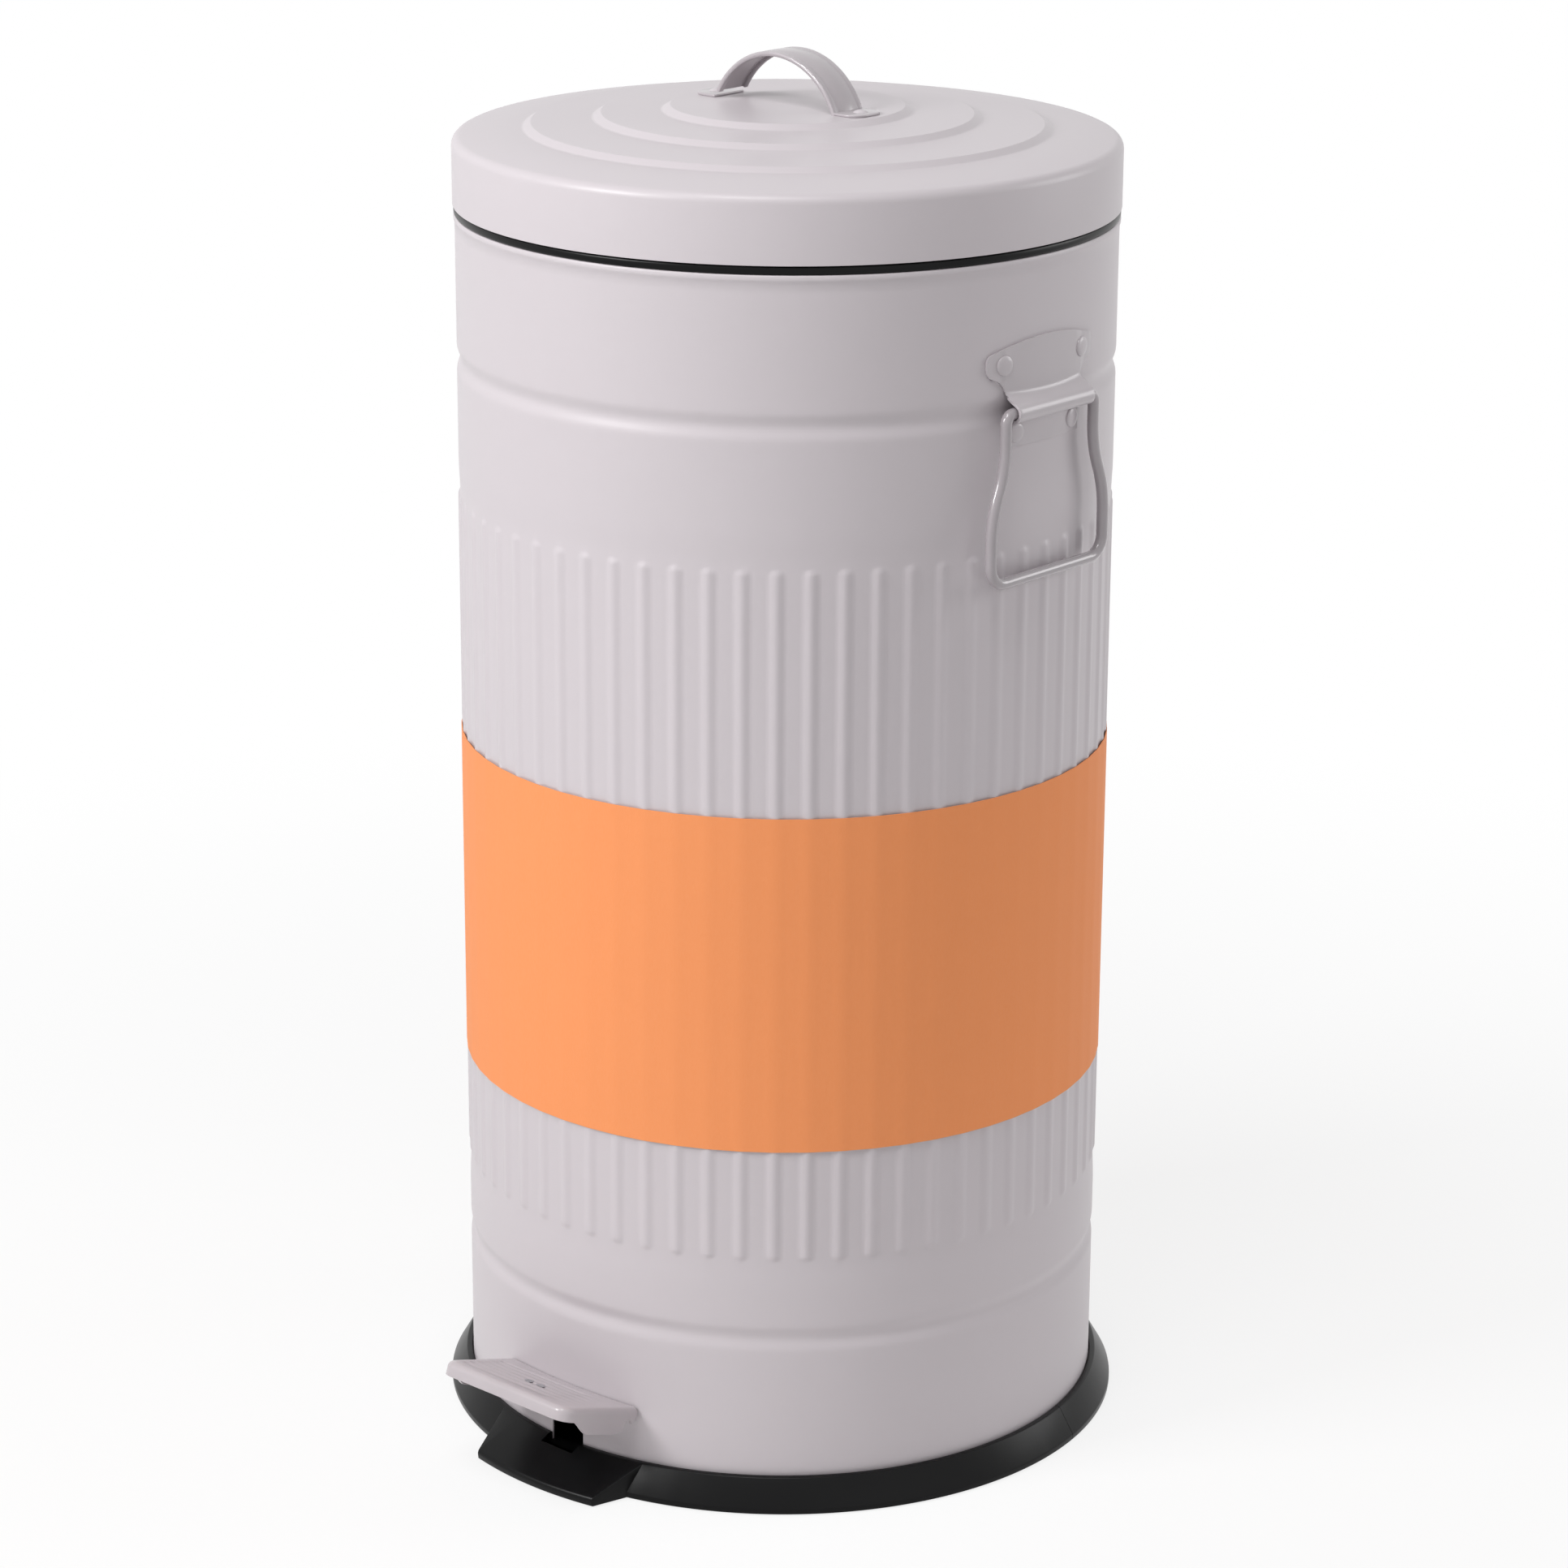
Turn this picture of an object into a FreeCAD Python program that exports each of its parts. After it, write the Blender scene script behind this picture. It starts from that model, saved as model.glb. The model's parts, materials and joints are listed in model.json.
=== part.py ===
import FreeCAD, Part
import math
import os
import Sketcher

# Pedal bin with a ribbed steel body, a hinged lid, two side bails and a bucket inside.
# Millimetres and degrees. The origin is on the body's axis at floor level, +Z is up,
# -Y is the front with the pedal, +Y the rear with the hinge, +X the right-hand side.

DRIVING = {
    # Body: rolled sheet with two inward beads and upright ribs
    "body_radius": 150.0,
    "body_wall": 0.8,
    "body_foot": 11.5,
    "body_rim": 573.0,
    "rim_hem_height": 2.6,
    "rim_hem_bulge": 0.6,
    "bead_dip": 1.3,
    "upper_bead_height": 507.0,
    "upper_bead_width": 12.0,
    "lower_bead_height": 83.0,
    "lower_bead_width": 11.0,
    "rib_count": 63.0,
    "rib_width": 7.1,
    "rib_rise": 0.85,
    "rib_bottom": 121.0,
    "rib_top": 444.6,
    "rib_field_dip": 0.5,
    "rib_field_ease": 14.0,
    "wall_blank": 12.0,
    "overrun": 20.0,
    "seat_gap": 0.3,
    "pin_play": 0.05,
    # Orange paper band
    "band_bottom": 175.0,
    "band_top": 332.0,
    "band_thickness": 0.3,
    "band_play": 0.15,
    # Black ring between body and lid
    "ring_plug_depth": 13.0,
    "ring_plug_thickness": 4.3,
    "ring_lip_height": 3.8,
    "ring_spigot_rise": 10.6,
    "ring_shelf_radius": 141.0,
    "ring_shelf_thickness": 2.6,
    "ring_notch_half": 23.0,
    # Lid
    "lid_radius": 151.0,
    "lid_wall": 0.8,
    "lid_seat_gap": 0.3,
    "lid_skirt_height": 25.1,
    "lid_corner_radius": 5.0,
    "lid_step_rise": 2.3,
    "lid_step_run": 4.0,
    "lid_first_step_radius": 52.5,
    "lid_second_step_radius": 83.2,
    "lid_third_step_radius": 115.0,
    "lid_first_fall": 1.0,
    "lid_second_fall": 1.9,
    "lid_third_fall": 3.4,
    # Lid handle
    "strap_width": 20.0,
    "strap_thickness": 1.2,
    "strap_span": 73.0,
    "strap_rise": 24.4,
    "strap_edge_depth": 3.0,
    "strap_edge_width": 1.4,
    "strap_foot_length": 13.0,
    "strap_foot_corner": 7.0,
    # Side handles
    "plate_thickness": 1.2,
    "plate_play": 0.2,
    "plate_top": 538.0,
    "plate_shoulder": 532.0,
    "plate_ear_bottom": 521.5,
    "plate_ear_half": 36.5,
    "plate_ear_corner": 5.0,
    "plate_neck_half": 26.0,
    "plate_neck_radius": 8.0,
    "plate_foot": 491.0,
    "plate_foot_half": 25.0,
    "tunnel_height": 507.0,
    "tunnel_half_length": 26.0,
    "upper_rivet_height": 527.6,
    "upper_rivet_turn": 10.2,
    "lower_rivet_height": 497.2,
    "lower_rivet_turn": 7.4,
    "bail_wire": 5.2,
    "bail_play": 0.6,
    "bail_wall_gap": 0.8,
    "bail_neck_half": 30.6,
    "bail_belly_half": 39.3,
    "bail_drop": 75.0,
    "bail_top_bend": 4.2,
    "bail_bottom_bend": 9.3,
    "bail_neck_run": 9.0,
    "bail_flare_run": 42.0,
    # Rivets
    "rivet_shank": 1.9,
    "rivet_play": 0.1,
    "handle_rivet_head": 4.6,
    "handle_rivet_dome": 1.2,
    "small_rivet_head": 3.4,
    "small_rivet_dome": 1.2,
    "rivet_tail": 3.0,
    "rivet_tail_height": 1.0,
    # Hinge at the rear
    "hinge_offset": 7.0,
    "hinge_height": 572.0,
    "hinge_pin_radius": 2.5,
    "hinge_eye_radius": 5.5,
    "hinge_plate": 1.6,
    "hinge_ear": 2.0,
    "hinge_bracket_half": 22.0,
    "hinge_bracket_bottom": 524.0,
    "hinge_bracket_top": 557.0,
    "hinge_rivet_spread": 12.0,
    "hinge_rivet_low": 532.0,
    "hinge_rivet_high": 550.0,
    "arm_half": 18.0,
    "arm_plate_bottom": 580.0,
    "arm_plate_top": 600.0,
    "arm_rivet_spread": 9.0,
    "pin_head_radius": 4.2,
    "pin_head_length": 2.0,
    "clip_thickness": 1.0,
    "clip_radius": 4.6,
    "lid_opening": 75.0,
    "crank_reach": 12.0,
    "crank_slot_play": 1.0,
    "crank_rim": 2.1,
    # Push rod and its guides
    "rod_radius": 2.25,
    "rod_side": 12.0,
    "rod_bend": 3.8,
    "rod_foot_hook": 23.0,
    "rod_head_hook": 8.6,
    "guide_low": 105.0,
    "guide_high": 475.0,
    "guide_half": 10.0,
    "guide_tab_half": 8.5,
    "guide_thickness": 1.5,
    "guide_flange": 14.0,
    "guide_reach": 8.0,
    "guide_rivet_side": 6.0,
    "guide_play": 1.1,
    # Lever and its fulcrum
    "fulcrum_height": 24.0,
    "lever_tilt": 5.5,
    "lever_rear": 138.6,
    "lever_front": 153.0,
    "lever_half_height": 4.0,
    "lever_half_width": 8.0,
    "lever_sheet": 1.6,
    "lever_toe": 24.0,
    "fulcrum_pin_radius": 2.5,
    "fulcrum_gap": 2.4,
    "fulcrum_sheet": 1.6,
    "fulcrum_post_half": 8.0,
    "fulcrum_foot_half": 22.0,
    "fulcrum_rivet_side": 17.0,
    "fulcrum_rivet_back": 5.0,
    "stop_back": 100.0,
    "stop_radius": 7.0,
    # Pedal
    "pedal_tilt": 13.1,
    "pedal_half_rear": 41.0,
    "pedal_half_front": 39.5,
    "pedal_reach": 42.0,
    "pedal_corner": 7.0,
    "pedal_sheet": 1.5,
    "pedal_round": 2.6,
    "pedal_apron": 8.0,
    "pedal_flange": 12.4,
    "pedal_body_gap": 2.0,
    "pedal_groove_count": 5.0,
    "pedal_groove_pitch": 4.2,
    "pedal_groove_width": 1.7,
    "pedal_groove_depth": 0.5,
    "pedal_groove_half": 31.0,
    "pedal_groove_start": 6.0,
    "pedal_rivet_side": 3.8,
    "pedal_rivet_back": 27.5,
    "pedal_rivet_head": 2.4,
    "pedal_rivet_dome": 0.5,
    "pedal_rivet_shank": 1.4,
    "lever_slot_half": 14.0,
    "lever_slot_top": 50.0,
    # Base
    "base_bottom": 0.5,
    "base_radius": 160.5,
    "base_lip": 2.5,
    "base_top": 15.5,
    "base_top_radius": 152.9,
    "base_skin": 2.4,
    "base_channel_play": 0.5,
    "base_spigot_top": 36.0,
    "base_spigot_thickness": 2.3,
    "base_flange_radius": 136.0,
    "base_flange_thickness": 2.6,
    "base_front_turn": 202.0,
    "base_seam": 0.08,
    "toe_reach": 16.5,
    "toe_lip": 2.4,
    "toe_crest": 4.4,
    "toe_turn": 19.2,
    "toe_corner_turn": 12.0,
    "plate_low": 3.0,
    "plate_sheet": 2.4,
    "floor_radius": 147.5,
    "screw_circle": 142.0,
    "screw_shank": 1.8,
    "screw_head": 3.6,
    "screw_head_height": 1.3,
    "screw_bite": 2.1,
    "screw_first_turn": 35.0,
    "screw_second_turn": 80.0,
    "screw_third_turn": 122.0,
    "screw_fourth_turn": 155.0,
    "foot_radius": 12.0,
    "middle_foot_radius": 14.0,
    "foot_circle": 122.0,
    "foot_edge": 1.0,
    # Bucket inside
    "bucket_low": 50.0,
    "bucket_bottom_radius": 128.5,
    "bucket_top_radius": 136.0,
    "bucket_wall": 2.0,
    "bucket_corner": 6.0,
    "bucket_rim_radius": 144.8,
    "bucket_rim_thickness": 2.2,
    "bucket_notch_half": 25.0,
    "bucket_notch_radius": 139.0,
    "bucket_bail_drop": 8.0,
    "bucket_bail_wire": 2.0,
    "bucket_bail_radius": 128.0,
    "bucket_bail_bend": 3.0,
    "bucket_bail_hook": 6.5,
}

DOCUMENT = FreeCAD.newDocument("PedalBin")
SHEET = DOCUMENT.addObject("Spreadsheet::Sheet", "Sizes")
UP = FreeCAD.Vector(0, 0, 1)
ACROSS = FreeCAD.Vector(1, 0, 0)
CUTS = []


class Size:
    """A number that also knows the expression that gives it from the sheet."""

    def __init__(self, text, value):
        self.text = text
        self.value = value

    def join(self, sign, other, value):
        return Size("(%s %s %s)" % (self.text, sign, as_size(other).text), value)

    def __add__(self, other):
        return self.join("+", other, self.value + as_size(other).value)

    def __sub__(self, other):
        return self.join("-", other, self.value - as_size(other).value)

    def __mul__(self, other):
        return self.join("*", other, self.value * as_size(other).value)

    def __truediv__(self, other):
        return self.join("/", other, self.value / as_size(other).value)

    def __neg__(self):
        return as_size(0) - self


def as_size(number):
    """Wraps a plain count or share so that it can stand beside sizes."""
    if isinstance(number, Size):
        return number
    return Size(repr(number), float(number))


def root(square):
    return Size("sqrt(%s)" % square.text, math.sqrt(square.value))


def sine(turn):
    return Size("sin(%s)" % turn.text, math.sin(math.radians(turn.value)))


def cosine(turn):
    return Size("cos(%s)" % turn.text, math.cos(math.radians(turn.value)))


def tangent(turn):
    return Size("tan(%s)" % turn.text, math.tan(math.radians(turn.value)))


def slope_turn(rise, run):
    """Turn, in degrees, of a line with this rise over this run."""
    text = "(atan(%s / %s) / 1 deg)" % (rise.text, run.text)
    return Size(text, math.degrees(math.atan2(rise.value, run.value)))


class Sizes:
    """The sheet's cells, read by name."""

    def __getattr__(self, name):
        return Size("Sizes." + name, DRIVING[name])


def fill_sheet():
    """One row for each driving size: its name and its plain number."""
    for row, (name, value) in enumerate(DRIVING.items(), start=1):
        SHEET.set("A%d" % row, name)
        SHEET.set("B%d" % row, repr(value))
        SHEET.setAlias("B%d" % row, name)
    DOCUMENT.recompute()


size = Sizes()
fill_sheet()


# Drawing helpers

def new_body(label):
    body = DOCUMENT.addObject("PartDesign::Body", label)
    body.Label = label
    body.AllowCompound = True
    return body


def origin_part(body, role):
    return next(part for part in body.Origin.OriginFeatures if part.Role == role)


def bind(thing, name, amount):
    """Ties one property of an object to its expression."""
    thing.setExpression(name, as_size(amount).text)


def arc_between(first, last, radius):
    """Minor arc from first to last, turning left if radius is positive."""
    chord = last - first
    middle = (first + last) * 0.5
    side = FreeCAD.Vector(-chord.y, chord.x, 0).normalize()
    rise = math.sqrt(max(radius * radius - chord.Length * chord.Length * 0.25, 0.0))
    centre = middle + side * math.copysign(rise, radius)
    circle = Part.Circle(centre, UP, abs(radius))
    ends = [first, last] if radius > 0 else [last, first]
    turns = [math.atan2(end.y - centre.y, end.x - centre.x) for end in ends]
    return Part.ArcOfCircle(circle, turns[0], turns[1])


def draw_loop(sketch, corners, closed=True):
    """Outline through corners (across, up); a third item is the radius of the arc to that corner."""
    points = [FreeCAD.Vector(as_size(corner[0]).value, as_size(corner[1]).value, 0) for corner in corners]
    count = len(points)
    edges = []
    for end in range(0 if closed else 1, count):
        corner = corners[end]
        first = points[end - 1]
        last = points[end]
        if len(corner) == 3:
            edges.append((arc_between(first, last, corner[2].value), corner[2].value > 0, end))
        else:
            edges.append((Part.LineSegment(first, last), True, end))
    names = sketch.addGeometry([edge[0] for edge in edges], False)
    heads = {}
    tails = {}
    rules = []
    for name, (_, forward, end) in zip(names, edges):
        tails[end] = (name, 2 if forward else 1)
        heads[(end - 1) % count] = (name, 1 if forward else 2)
    for corner in range(count):
        if corner in heads and corner in tails:
            rules.append(Sketcher.Constraint("Coincident", *tails[corner], *heads[corner]))
    sketch.addConstraint(rules)
    for corner in range(count):
        vertex = heads.get(corner, tails.get(corner))
        for kind, amount in zip(("DistanceX", "DistanceY"), corners[corner][:2]):
            amount = as_size(amount)
            rule = sketch.addConstraint(Sketcher.Constraint(kind, -1, 1, *vertex, amount.value))
            sketch.setExpression("Constraints[%d]" % rule, amount.text)
    for name, (_, _, end) in zip(names, edges):
        if len(corners[end]) == 3:
            radius = corners[end][2]
            rule = sketch.addConstraint(Sketcher.Constraint("Radius", name, abs(radius.value)))
            sketch.setExpression("Constraints[%d]" % rule, "abs(%s)" % radius.text)


def draw_circle(sketch, across, up, radius):
    centre = FreeCAD.Vector(as_size(across).value, as_size(up).value, 0)
    name = sketch.addGeometry(Part.Circle(centre, UP, radius.value), False)
    for kind, amount in (("DistanceX", across), ("DistanceY", up)):
        amount = as_size(amount)
        rule = sketch.addConstraint(Sketcher.Constraint(kind, -1, 1, name, 3, amount.value))
        sketch.setExpression("Constraints[%d]" % rule, amount.text)
    rule = sketch.addConstraint(Sketcher.Constraint("Radius", name, radius.value))
    sketch.setExpression("Constraints[%d]" % rule, radius.text)


def new_sketch(body, role, lift=(0, 0, 0), turn=None):
    """Empty sketch on one of the body's own planes, moved in the plane's axes and turned."""
    sketch = body.newObject("Sketcher::SketchObject", body.Label + "_sketch")
    sketch.AttachmentSupport = [(origin_part(body, role), "")]
    sketch.MapMode = "FlatFace"
    lifts = [as_size(part) for part in lift]
    turned = as_size(turn if turn is not None else 0)
    place = FreeCAD.Placement()
    place.Base = FreeCAD.Vector(*[part.value for part in lifts])
    place.Rotation = FreeCAD.Rotation(UP, turned.value)
    sketch.AttachmentOffset = place
    for axis, part in zip("xyz", lifts):
        if part.value:
            bind(sketch, "AttachmentOffset.Base." + axis, part)
    if turned.value:
        bind(sketch, "AttachmentOffset.Rotation.Angle", turned)
    return sketch


def outline(body, role, corners, lift=(0, 0, 0), turn=None):
    sketch = new_sketch(body, role, lift, turn)
    draw_loop(sketch, corners)
    return sketch


def pad(body, sketch, length, both_ways=False, reverse=False):
    feature = body.newObject("PartDesign::Pad", body.Label + "_pad")
    feature.Profile = sketch
    feature.SideType = "Symmetric" if both_ways else "One side"
    feature.Reversed = reverse
    bind(feature, "Length", length)
    feature.Refine = False
    DOCUMENT.recompute()
    return feature


def pocket(body, sketch, length, both_ways=False, reverse=False):
    feature = body.newObject("PartDesign::Pocket", body.Label + "_pocket")
    feature.Profile = sketch
    feature.SideType = "Symmetric" if both_ways else "One side"
    feature.Reversed = reverse
    bind(feature, "Length", length)
    feature.Refine = False
    CUTS.append(feature)
    DOCUMENT.recompute()
    return feature


def spin(body, sketch, axis="V_Axis", turn=None, cut=False):
    """Turns a sketch about one of its own axes, all round or evenly to both sides."""
    kind = "PartDesign::Groove" if cut else "PartDesign::Revolution"
    feature = body.newObject(kind, body.Label + "_spin")
    feature.Profile = sketch
    feature.ReferenceAxis = (sketch, [axis])
    feature.Angle = 360.0
    if turn is not None:
        feature.Midplane = True
        bind(feature, "Angle", turn)
    feature.Refine = False
    if cut:
        CUTS.append(feature)
    DOCUMENT.recompute()
    return feature


def mirror(body, features, role):
    pattern = body.newObject("PartDesign::Mirrored", body.Label + "_mirror")
    pattern.Originals = features
    pattern.MirrorPlane = (origin_part(body, role), [""])
    pattern.Refine = False
    body.Tip = pattern
    DOCUMENT.recompute()
    return pattern


def ring_of(body, features, count):
    """Copies features evenly all round the body's upright axis."""
    pattern = body.newObject("PartDesign::PolarPattern", body.Label + "_ring")
    pattern.Originals = features
    pattern.Axis = (origin_part(body, "Z_Axis"), [""])
    pattern.Angle = 360.0
    bind(pattern, "Occurrences", count)
    pattern.Refine = False
    body.Tip = pattern
    DOCUMENT.recompute()
    return pattern


def sweep(body, path_role, path, section_role, section_lift, radius):
    """Round wire along an open path."""
    spine = new_sketch(body, path_role)
    draw_loop(spine, path, closed=False)
    section = new_sketch(body, section_role, section_lift)
    draw_circle(section, 0, 0, radius)
    DOCUMENT.recompute()
    feature = body.newObject("PartDesign::AdditivePipe", body.Label + "_sweep")
    feature.Profile = section
    feature.Spine = spine
    feature.Refine = False
    DOCUMENT.recompute()
    return feature


def place(body, base=(0, 0, 0), axis=UP, turn=None):
    """Moves a whole body, and turns it about an axis."""
    bases = [as_size(part) for part in base]
    turned = as_size(turn if turn is not None else 0)
    body.Placement = FreeCAD.Placement(
        FreeCAD.Vector(*[part.value for part in bases]), FreeCAD.Rotation(axis, turned.value))
    for name, part in zip("xyz", bases):
        if part.value:
            bind(body, "Placement.Base." + name, part)
    if turned.value:
        bind(body, "Placement.Rotation.Angle", turned)


def box_corners(left, low, right, high):
    return [(left, low), (right, low), (right, high), (left, high)]


def sag_radius(half_chord, rise):
    """Radius of the arc over this half chord with this rise."""
    return (half_chord * half_chord + rise * rise) / (rise * 2)


# Sizes that several pieces share

BODY_INSIDE = size.body_radius - size.body_wall
LIP_TOP = size.body_rim + size.ring_lip_height
SKIRT_BOTTOM = LIP_TOP + size.lid_seat_gap
RING_TOP = size.body_rim + size.ring_spigot_rise
LID_EDGE = SKIRT_BOTTOM + size.lid_skirt_height
HINGE_BACK = size.body_radius + size.hinge_offset
CRANK_SWING = size.lid_opening / 2
CRANK_RADIUS = size.crank_reach / cosine(CRANK_SWING)
ROD_HEAD_BACK = HINGE_BACK - size.crank_reach
ROD_HEAD_HEIGHT = size.hinge_height - CRANK_RADIUS * sine(CRANK_SWING)
ROD_FOOT_BACK = size.lever_rear * cosine(size.lever_tilt)
ROD_FOOT_HEIGHT = size.fulcrum_height - size.lever_rear * sine(size.lever_tilt)
ROD_LEAN = slope_turn(ROD_HEAD_BACK - ROD_FOOT_BACK, ROD_HEAD_HEIGHT - ROD_FOOT_HEIGHT)
PLATE_TOP = size.plate_low + size.plate_sheet
TOE_RADIUS = size.base_radius + size.toe_reach
HANDLE_PLATE_INSIDE = size.body_radius + size.plate_play
HANDLE_PLATE_OUTSIDE = HANDLE_PLATE_INSIDE + size.plate_thickness
BAIL_RADIUS = size.bail_wire / 2
BAIL_OUT = size.body_radius + size.bail_wall_gap + BAIL_RADIUS
BRACKET_INSIDE = size.body_radius + size.plate_play
BRACKET_OUTSIDE = BRACKET_INSIDE + size.hinge_plate
ARM_INSIDE = size.lid_radius + size.plate_play
ARM_OUTSIDE = ARM_INSIDE + size.hinge_plate
RIVET_HOLE = size.rivet_shank + size.rivet_play
TUBE_INSIDE = BAIL_RADIUS + size.bail_play
LID_CENTRE_HEIGHT = (LID_EDGE + size.lid_corner_radius + size.lid_third_fall + size.lid_second_fall
                     + size.lid_first_fall + size.lid_step_rise * 3)


def rivet_outline(tail_face, head_face, head, dome):
    """Half outline of a rivet along its axis: flat tail, shank and domed head."""
    tail_end = tail_face - size.rivet_tail_height
    return [
        (tail_end, 0),
        (head_face + dome, 0),
        (head_face, head, sag_radius(head, dome)),
        (head_face, size.rivet_shank),
        (tail_face, size.rivet_shank),
        (tail_face, size.rivet_tail),
        (tail_end, size.rivet_tail),
    ]


def hole_outline(start, end, radius):
    return box_corners(start, 0, end, radius)


def radial(body, corners, height, turn, cut=False):
    """Spins a half outline about a level line that leaves the body's axis at a turn from +X."""
    sketch = outline(body, "XY_Plane", corners, (0, 0, height), turn)
    return spin(body, sketch, "H_Axis", cut=cut)


def upright(body, corners, side, back, cut=False):
    """Spins a half outline about an upright line."""
    sketch = outline(body, "XZ_Plane", corners, (side, 0, -as_size(back)))
    return spin(body, sketch, "V_Axis", cut=cut)


def level(body, corners, back, height, cut=False):
    """Spins a half outline about a line along X."""
    sketch = outline(body, "XZ_Plane", corners, (0, height, -as_size(back)))
    return spin(body, sketch, "H_Axis", cut=cut)


# Body

def wall_profile(radius, inward):
    """Corners of a face of the body's wall from foot to rim, inward of the outer face."""
    corners = [(radius, size.body_foot)]
    corners += bead_corners(radius, size.lower_bead_height, size.lower_bead_width, inward)
    field = radius - size.rib_field_dip
    corners += [
        (radius, size.rib_bottom - size.rib_field_ease),
        (field, size.rib_bottom),
        (field, size.rib_top),
        (radius, size.rib_top + size.rib_field_ease),
    ]
    corners += bead_corners(radius, size.upper_bead_height, size.upper_bead_width, inward)
    return corners


def bead_corners(radius, height, width, inward):
    """The two ends of an inward bead, with the arc between them."""
    bead = sag_radius(width / 2, size.bead_dip) + inward
    half = root(size.bead_dip * (bead * 2 - size.bead_dip))
    return [(radius, height - half), (radius, height + half, -bead)]


def handle_rivet_spots():
    """Height and turn from the handle's middle of each of its four rivets."""
    upper = [(size.upper_rivet_height, size.upper_rivet_turn * sign) for sign in (-1, 1)]
    lower = [(size.lower_rivet_height, size.lower_rivet_turn * sign) for sign in (-1, 1)]
    return upper + lower


def hinge_rivet_spots():
    """Height and turn from +X of each rivet of the hinge bracket, which is at the rear."""
    swing = slope_turn(size.hinge_rivet_spread, size.body_radius)
    return [(height, as_size(90) + swing * sign)
            for height in (size.hinge_rivet_low, size.hinge_rivet_high) for sign in (-1, 1)]


def guide_heights():
    return (size.guide_low, size.guide_high)


def guide_rivet_turn():
    """Turn from +X of the rivets of the guides, which clear the push rod on one side."""
    beside_rod = size.rod_side - size.guide_rivet_side
    return as_size(90) - slope_turn(beside_rod, ROD_HEAD_BACK)


def make_body_shell():
    body = new_body("body_shell")
    hem = sag_radius(size.rim_hem_height / 2, size.rim_hem_bulge)
    blank = size.body_radius - size.wall_blank
    outer = wall_profile(size.body_radius, as_size(0))
    outer += [(size.body_radius, size.body_rim - size.rim_hem_height),
              (size.body_radius, size.body_rim, hem)]
    spin(body, outline(body, "XZ_Plane", outer + [(blank, size.body_rim), (blank, size.body_foot)]))
    cut_body_openings(body)
    add_ribs(body)
    inner = wall_profile(BODY_INSIDE, size.body_wall)
    low = size.body_foot - size.overrun
    high = size.body_rim + size.overrun
    hollow = [(0, low), (BODY_INSIDE, low)] + inner[1:] + [(BODY_INSIDE, high), (0, high)]
    spin(body, outline(body, "XZ_Plane", hollow), cut=True)
    return body


def add_ribs(body):
    """Rounded upright ribs: the outer parts of upright capsules sunk into the wall."""
    half = size.rib_width / 2
    round_radius = sag_radius(half, size.rib_rise)
    back = size.body_radius - size.rib_field_dip + size.rib_rise - round_radius
    low = size.rib_bottom + half
    high = size.rib_top - half
    capsule = [
        (0, low - round_radius),
        (round_radius, low, round_radius),
        (round_radius, high),
        (0, high + round_radius, round_radius),
    ]
    rib = upright(body, capsule, 0, -back)
    ring_of(body, [rib], size.rib_count)


def cut_body_openings(body):
    """Lever notch at the front, crank slot at the rear and the rivet holes."""
    start = size.body_radius - size.overrun
    notch = box_corners(-size.lever_slot_half, size.body_foot - size.overrun, size.lever_slot_half,
                        size.lever_slot_top)
    pocket(body, outline(body, "XZ_Plane", notch, (0, 0, start)), size.overrun * 2, reverse=True)
    finger = crank_finger_sides()
    slot_bottom = ROD_HEAD_HEIGHT - crank_half_width() - size.clip_thickness
    slot = box_corners(finger[0] - size.crank_rim, slot_bottom, finger[1] + size.crank_rim,
                       size.body_rim + size.overrun)
    pocket(body, outline(body, "XZ_Plane", slot, (0, 0, -start)), size.overrun * 2)
    hole = hole_outline(start, size.body_radius + size.overrun, RIVET_HOLE)
    for side_turn in (0, 180):
        for height, turn in handle_rivet_spots():
            radial(body, hole, height, turn + side_turn, cut=True)
    for height, turn in hinge_rivet_spots():
        radial(body, hole, height, turn, cut=True)
    for height in guide_heights():
        radial(body, hole, height - size.guide_flange / 2, guide_rivet_turn(), cut=True)


def make_wrap_band():
    """Paper band that lies round the crests of the ribs."""
    body = new_body("wrap_band")
    inside = size.body_radius - size.rib_field_dip + size.rib_rise + size.band_play
    corners = box_corners(inside, size.band_bottom, inside + size.band_thickness, size.band_top)
    spin(body, outline(body, "XZ_Plane", corners))
    return body


def make_top_rim_ring():
    """Ring that plugs into the body, shows as a thin black line and carries the bucket."""
    body = new_body("top_rim_ring")
    plug_outside = BODY_INSIDE - size.seat_gap
    plug_inside = plug_outside - size.ring_plug_thickness
    plug_bottom = size.body_rim - size.ring_plug_depth
    lip_radius = size.body_radius + size.rim_hem_bulge
    shelf_bottom = RING_TOP - size.ring_shelf_thickness
    corners = [
        (plug_inside, plug_bottom),
        (plug_outside, plug_bottom),
        (plug_outside, size.body_rim),
        (lip_radius, size.body_rim),
        (lip_radius, LIP_TOP),
        (plug_outside, LIP_TOP),
        (plug_outside, RING_TOP),
        (size.ring_shelf_radius, RING_TOP),
        (size.ring_shelf_radius, shelf_bottom),
        (plug_inside, shelf_bottom - (plug_inside - size.ring_shelf_radius)),
    ]
    spin(body, outline(body, "XZ_Plane", corners))
    notch = box_corners(-size.ring_notch_half, plug_bottom - size.overrun, size.ring_notch_half,
                        RING_TOP + size.overrun)
    start = size.body_radius - size.overrun
    pocket(body, outline(body, "XZ_Plane", notch, (0, 0, -start)), size.overrun * 2)
    return body


# Lid

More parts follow.
